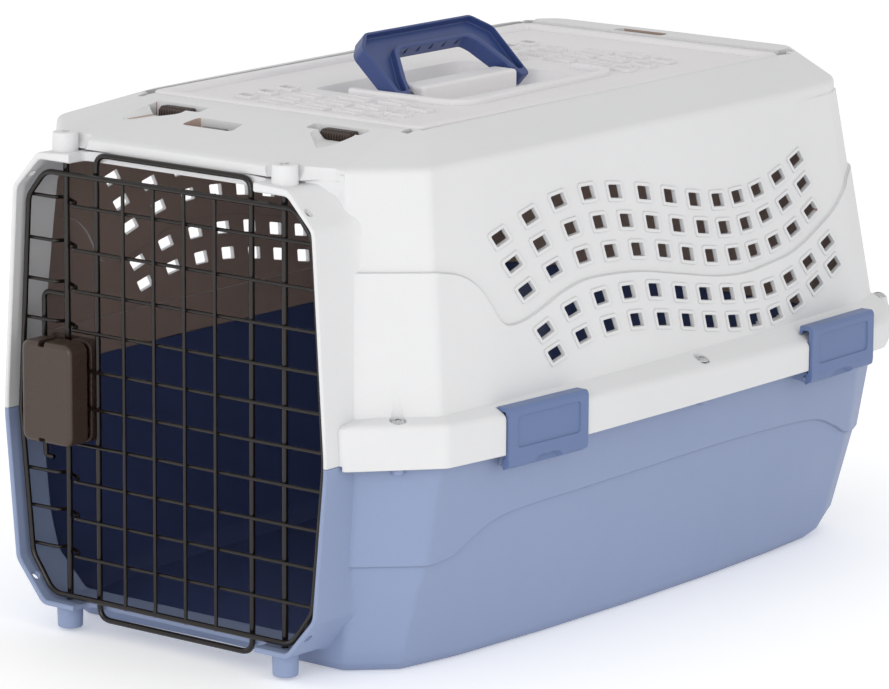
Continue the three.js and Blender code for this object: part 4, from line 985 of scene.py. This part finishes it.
put(back_plate(), "latch_back", "front_door", "front_latch_plate", material=M_BROWN, slot="latch_brown")
for i, (x, z) in enumerate(POSTS):
    s = screw(0, 0, 21.0 - 0.5, 2.15, 1.1, -2.5)
    s.data.transform(Matrix(((1, 0, 0, x), (0, 0, 1, -0.9), (0, -1, 0, z), (0, 0, 0, 1))))
    put(s, f"latch_screw_{i + 1}", "front_door", f"front_latch_screw_{i + 1}", material=M_ZINC, slot="zinc")
X, Y = -ROD_X, LATCH_Y
upper = many("rod", [
    tube_raw([[X, Y, 176], [X, Y, 240], [X, Y, 317.5]], 2.0, 20),
    tube_raw(fillet_path([[X, Y, 178], [-110.5, Y, 178], [-110.5, Y, 218.5], [X, Y, 218.5]], 5.5, False, 9), 1.7, 16),
])
put(upper, "latch_wire_upper", "latch_upper", "front_latch_rod_upper", material=M_WIRE, slot="wire_bronze", angle=60)
lower = many("rod", [
    tube_raw([[X, Y, 10.5], [X, Y, 80], [X, Y, 141]], 2.0, 20),
    tube_raw(fillet_path([[X, Y, 139], [-110.5, Y, 139], [-110.5, Y, 111], [-104.5, Y, 111]], 5.5, False, 9), 1.7, 16),
])
put(lower, "latch_wire_lower", "latch_lower", "front_latch_rod_lower", material=M_WIRE, slot="wire_bronze", angle=60)

# ------------------------------------------------------------------ roof door
SLOT_COLS = [[-57, [149, 169.5, 190, 405, 426, 447], 7.4], [-28, [134, 154.5, 176, 392, 414.5, 437], 10.5], [3, [144.5, 165.5, 186.5, 404.5, 426, 447], 12], [31.5, [145, 167.5, 190, 406, 428.5, 451], 10.5], [61, [136, 158.5, 181, 398, 421, 443.5], 8.8]]


def lozenge(x, y, a, b):
    return [[x - a, y - b + 1], [x + a, y - b - 1], [x + a, y + b - 1], [x - a, y + b + 1]]


def flat_bar(path, half, z0, z1):
    """Rounded rib along a plan path: semicircular ends, soft top edges."""
    P = [np.array(p[:2], float) for p in path]
    m = len(P)
    L, Rr = [], []
    for i in range(m):
        t = P[min(i + 1, m - 1)] - P[max(i - 1, 0)]
        t /= np.linalg.norm(t)
        n = np.array([-t[1], t[0]])
        L.append((P[i], n, t))
    def outline(o):
        w = half - o
        pts = [p - n * w for p, n, t in L]
        p, n, t = L[-1]
        pts += [p + w * (t * math.sin(a) - n * math.cos(a)) for a in np.linspace(0.3, math.pi - 0.3, 7)]
        pts += [p + n * w for p, n, t in L[::-1]]
        p, n, t = L[0]
        pts += [p + w * (n * math.cos(a) - t * math.sin(a)) for a in np.linspace(0.3, math.pi - 0.3, 7)]
        return np.array(pts)
    rings = []
    for z, o in ((z0, 0), (z1 - 1.8, 0), (z1 - 1.2, 0.15), (z1 - 0.6, 0.55), (z1 - 0.15, 1.2), (z1, 2.2)):
        q = outline(o)
        rings.append(np.column_stack([q, np.full(len(q), z)]))
    return loft("bar", rings)


def roof_door():
    top = LID_TOP
    rings = [lid_ring(0.9, 326.2), lid_ring(0.2, 326.5), lid_ring(0, 327.2)]
    rings += blend_rings(lid_ring(0, top - 2.6), lid_ring(0, top), lid_ring(3.4, top))
    rings += blend_rings(lid_ring(8.4, top), lid_ring(10.2, top), lid_ring(10.9, 331.2))
    rings += [lid_ring(11.6, 331.2)]
    s = loft("lid", rings)
    cut(s, loft("under", [lid_ring(9, 320), lid_ring(9, 328.4)]))
    union(s, loft("w", [
        rounded([[-63, 205], [52, 205], [52, 362], [-63, 362]], 8, 0, 5, 318.5),
        rounded([[-65, 196], [58, 196], [58, 372], [-65, 372]], 10, 0, 5, 330),
    ]))
    # low oval land that carries the well
    cut(s, loft("well", [
        rounded([[-42, 216], [40, 216], [40, 354], [-42, 354]], 7, 0, 6, 321.6),
        rounded([[-49, 206], [47, 206], [47, 363], [-49, 363]], 10, 0, 6, 330.6),
        rounded([[-51.5, 203.5], [49.5, 203.5], [49.5, 365.5], [-51.5, 365.5]], 11, 0, 6, 333),
    ]))
    union(s, slab("block", [[2, 233], [22, 233], [22, 333], [2, 333]], "z", 319, 336.4, 3, 0, 2.4))
    for y in (222.9, 343.1):
        cut(s, box(-43.5, 32, y - 9.9, y + 9.9, 321.8, 360, rad=2))
    cut(s, cyl([HANDLE_X, 228, HANDLE_Z], [HANDLE_X, 246, HANDLE_Z], 2.15), cyl([HANDLE_X, 320, HANDLE_Z], [HANDLE_X, 338, HANDLE_Z], 2.15))
    # raised lozenges: the left column is open, the right one framed, the middle ones are pads with a soft rim
    lz = [(x, y, h) for x, ys, h in SLOT_COLS for y in ys]
    union(s, many("pads", [raw_loft(slab_rings(lozenge(x, y, h, 5.6), "z", 329.5, 333.5, 2.2, 0, 0.35, 3)) for x, y, h in lz]))
    dish = []
    for x, y, h in lz:
        if x in (-57, 61):
            continue
        dish.append(raw_loft([rounded(ccw(lozenge(x + 1, y, h - g, 5.6 - g * 0.8)), 1.6, 0, 3, z) for z, g in ((331.9, 2.4), (332.2, 1.8), (334.2, 1.3))]))
    cut(s, many("dish", dish))
    cut(s, many("slots", [raw_loft(slab_rings(lozenge(x, y, h - 1.8, 3.8), "z", 320 if x < 0 else 331.4, 340, 1.4, n=3)) for x, y, h in lz if x in (-57, 61)]))
    # raised ridge round the right side of the well
    ridge = fillet_path([[-17, 209, 331.6], [70, 211, 331.6], [66, 290, 331.6], [62, 384, 331.6], [30, 386, 331.6]], 22, False, 8)
    union(s, flat_bar(ridge, 3.6, 330.2, 334.7))
    for k in (-1, 1):
        x = k * LID_AXIS_X
        cut(s, cyl([x, LID_Y0 - 5, LID_AXIS_Z], [x, LID_Y1 + 5, LID_AXIS_Z], 1.85), box(x - 1.85, x + 1.85, LID_Y0 - 5, LID_Y1 + 5, 318, LID_AXIS_Z))
    return s


put(roof_door(), "roof_door_panel", "roof_door", "top_door", material=M_LID, slot="shell_light", weld=1e-5)
for side, k, body in (("left", -1, "top_hinge_bar"), ("right", 1, "roof_door")):
    r = mesh_object("rod", *tube_raw([[k * LID_AXIS_X, LID_Y0 - 9.5, LID_AXIS_Z], [k * LID_AXIS_X, 315, LID_AXIS_Z], [k * LID_AXIS_X, LID_Y1 + 9.5, LID_AXIS_Z]], 1.6, 18))
    put(r, f"hinge_wire_{side}", body, f"top_door_rod_{side}", material=M_WIRE, slot="wire_bronze", angle=60)


def slide_front():
    s = box(-92, 92, 63, 74, 316.5, 319.6, 0.4)
    union(s, box(-27, -6.6, 64, 73, 319, 326, 1.0))
    for k in (-1, 1):
        x = k * 68.5
        union(s, box(x - 15, x + 15, 72, 97.2, 316.5, 319.6, 0.3), slab("pad", [[87.8, 318], [97.2, 318], [97.2, 331.2], [90.5, 331.2], [87.8, 329]], "x", k * 67 - 12, k * 67 + 12, [0.3, 0.3, 1.2, 3, 2], 0.6, 0.6))
        for i in range(-5, 6):
            rib = k * 67 + i * 2.2
            cut(s, box(rib - 0.6, rib + 0.6, 80, 100, 330.1, 340), box(rib - 0.6, rib + 0.6, 80, 88.7, 322, 340))
    return s


def slide_rear():
    s = box(-92, 92, LID_Y1 + 4, LID_Y1 + 12.8, 316.5, 319.6, 0.4)
    union(s, box(-27, -5, LID_Y1 + 4.2, LID_Y1 + 12.6, 319, 332.5, 0.7))
    for i in range(-3, 4):
        cut(s, box(-16 + i * 2.8 - 0.6, -16 + i * 2.8 + 0.6, 500, 540, 331.4, 340))
    return s


put(slide_front(), "slide_f", "roof_latch_front", "top_latch_slide_front", material=M_BROWN, slot="latch_brown")
put(slide_rear(), "slide_r", "roof_latch_rear", "top_latch_slide_rear", material=M_BROWN, slot="latch_brown")


# ------------------------------------------------------------------ carry handle
def carry_handle():
    outer = [[-68.5, -4.5], [-57.5, -4.5], [-56, 3], [56, 3], [57.5, -4.5], [67.5, -4.5], [67, 38.5], [52.5, 51], [-58, 51], [-70, 40.5]]
    rad = [4, 4, 1, 1, 4, 4, 9, 9, 9, 9]
    rings = []
    for x, o in ((-6, 1.1), (-5.7, 0.4), (-5.1, 0), (5.1, 0), (5.7, 0.4), (6, 1.1)):
        rings.append(to_axis(rounded(outer, rad, o, 6), "x", x))
    s = loft("handle", rings)
    hole = [[-56.5, -10], [56.5, -10], [52.5, 8], [41, 29], [36, 34], [-36, 34], [-41, 29], [-52.5, 8]]
    cut(s, loft("hole", [to_axis(rounded(hole, [1, 1, 10, 7, 8, 8, 7, 10], o, 6), "x", x) for x, o in ((-9, -1.2), (-6, -0.9), (-5.2, 0), (5.2, 0), (6, -0.9), (9, -1.2))]))
    pocket = [[-66.6, 1], [-59.2, 1], [-55.2, 12], [-43.2, 33.4], [-37.8, 36.4], [37.8, 36.4], [43.2, 33.4], [55.2, 12], [59.2, 1], [65.6, 1], [65.2, 37.4], [51.6, 48.8], [-57.2, 48.8], [-68, 39.2]]
    for k in (-1, 1):
        xs = ((1.1, 0.6), (1.5, 0.1), (5.2, 0), (8, -0.4)) if k > 0 else ((-8, -0.4), (-5.2, 0), (-1.5, 0.1), (-1.1, 0.6))
        pk = loft("pk", [to_axis(rounded(pocket, 3, o, 4), "x", x) for x, o in xs])
        cut(s, pk)
    # finger grooves in the underside of the grip
    for y in (-27, -13.5, 0, 13.5, 27):
        cut(s, loft("groove", [[[-1.2, y - 1.9, 33.2], [4.6, y - 0.5, 33.2], [4.6, y + 0.5, 33.2], [-1.2, y + 1.9, 33.2]], [[-1.2, y - 1.4, 35.6], [3.2, y - 0.3, 35.6], [3.2, y + 0.3, 35.6], [-1.2, y + 1.4, 35.6]]]))
    cut(s, cyl([0, -80, 0], [0, 80, 0], 2.15))
    s.data.transform(Matrix.Translation((HANDLE_X, HANDLE_Y, HANDLE_Z)) @ Matrix.Rotation(-HANDLE_LEAN * D2R, 4, "Y"))
    return s


put(carry_handle(), "grip", "handle", "carry_handle", material=M_HANDLE, slot="handle_blue")
for tag, y0, y1 in (("front", 216.4, 244.6), ("rear", 321.4, 349.6)):
    p = mesh_object("pin", *tube_raw([[HANDLE_X, y0, HANDLE_Z], [HANDLE_X, (y0 + y1) / 2, HANDLE_Z], [HANDLE_X, y1, HANDLE_Z]], 1.85, 20))
    put(p, f"grip_pin_{tag}", "roof_door", f"handle_pin_{tag}", material=M_ZINC, slot="zinc", angle=60)

# ------------------------------------------------------------------ CAD nodes that stay in view
node = bpy.data.objects.get("front_latch_spring")
if node:
    node.data.materials.clear()
    node.data.materials.append(M_ZINC)

# ------------------------------------------------------------------ floor, light and camera
fm, nt, fb = nodes_of("floor")
fb.inputs["Base Color"].default_value = (0.95, 0.95, 0.95, 1)
fb.inputs["Emission Color"].default_value = (1, 1, 1, 1)
lp = N(nt, "ShaderNodeLightPath")
le = N(nt, "ShaderNodeMapRange")
le.inputs["To Min"].default_value = 0.16
le.inputs["To Max"].default_value = 0.27
nt.links.new(lp.outputs["Is Camera Ray"], le.inputs["Value"])
nt.links.new(le.outputs[0], fb.inputs["Emission Strength"])
fb.inputs["Roughness"].default_value = 0.7
fn = N(nt, "ShaderNodeTexNoise", Scale=30.0)
ftc = N(nt, "ShaderNodeTexCoord")
nt.links.new(ftc.outputs["Object"], fn.inputs["Vector"])
fbp = N(nt, "ShaderNodeBump")
fbp.inputs["Strength"].default_value = 0.02
nt.links.new(fn.outputs["Fac"], fbp.inputs["Height"])
nt.links.new(fbp.outputs[0], fb.inputs["Normal"])
floor = mesh_object("floor", [[-6, -6, 0], [6, -6, 0], [6, 6, 0], [-6, 6, 0]], [[0, 1, 2, 3]])
floor.location.z = -0.0006
if floor.data.polygons[0].normal.z < 0:
    floor.data.flip_normals()
floor.data.materials.append(fm)

world = bpy.data.worlds.new("studio")
SCENE.world = world
world.use_nodes = True
bg = world.node_tree.nodes["Background"]
bg.inputs[0].default_value = (1.0, 1.0, 1.0, 1)
wp = world.node_tree.nodes.new("ShaderNodeLightPath")
wm = world.node_tree.nodes.new("ShaderNodeMapRange")
wm.inputs["To Min"].default_value = 0.78
wm.inputs["To Max"].default_value = 1.0
world.node_tree.links.new(wp.outputs["Is Camera Ray"], wm.inputs["Value"])
world.node_tree.links.new(wm.outputs[0], bg.inputs[1])


def area(name, loc, target, size, power, color=(1, 1, 1)):
    d = bpy.data.lights.new(name, "AREA")
    d.shape = "RECTANGLE"
    d.size, d.size_y = size
    d.energy = power
    d.color = color
    o = bpy.data.objects.new(name, d)
    o.location = loc
    v = Vector(target) - Vector(loc)
    o.rotation_euler = v.to_track_quat("-Z", "Y").to_euler()
    SCENE.collection.objects.link(o)
    return o


area("key", (0.5, -2.2, 0.7), (0, 0, 0.15), (1.5, 1.2), 13)
area("side", (2.3, 0.0, 0.8), (0, 0, 0.15), (1.6, 1.2), 6)
area("left", (-2.2, -0.9, 0.9), (0, 0, 0.15), (1.2, 1.2), 4)

SCENE.view_settings.view_transform = "Standard"
cam = bpy.data.cameras.new("view")
cam.sensor_width = 36
cam.lens = 5000 * 36 / 889
co = bpy.data.objects.new("view", cam)
SCENE.collection.objects.link(co)
a, e, r = 38.39 * D2R, 12.11 * D2R, -0.33 * D2R
right = np.array([math.cos(a), math.sin(a), 0])
back = np.array([math.sin(a) * math.cos(e), -math.cos(a) * math.cos(e), math.sin(e)])
up = np.cross(back, right)
M = np.array([[math.cos(r), -math.sin(r), 0], [math.sin(r), math.cos(r), 0], [0, 0, 1]]) @ np.array([right, up, back])
loc = np.array([0, 0, 0.165]) + M.T @ np.array([-0.00385, -0.01163, 3.33439])
co.matrix_world = Matrix([[*M.T[0], loc[0]], [*M.T[1], loc[1]], [*M.T[2], loc[2]], [0, 0, 0, 1]])
cam.clip_end = 50
SCENE.camera = co
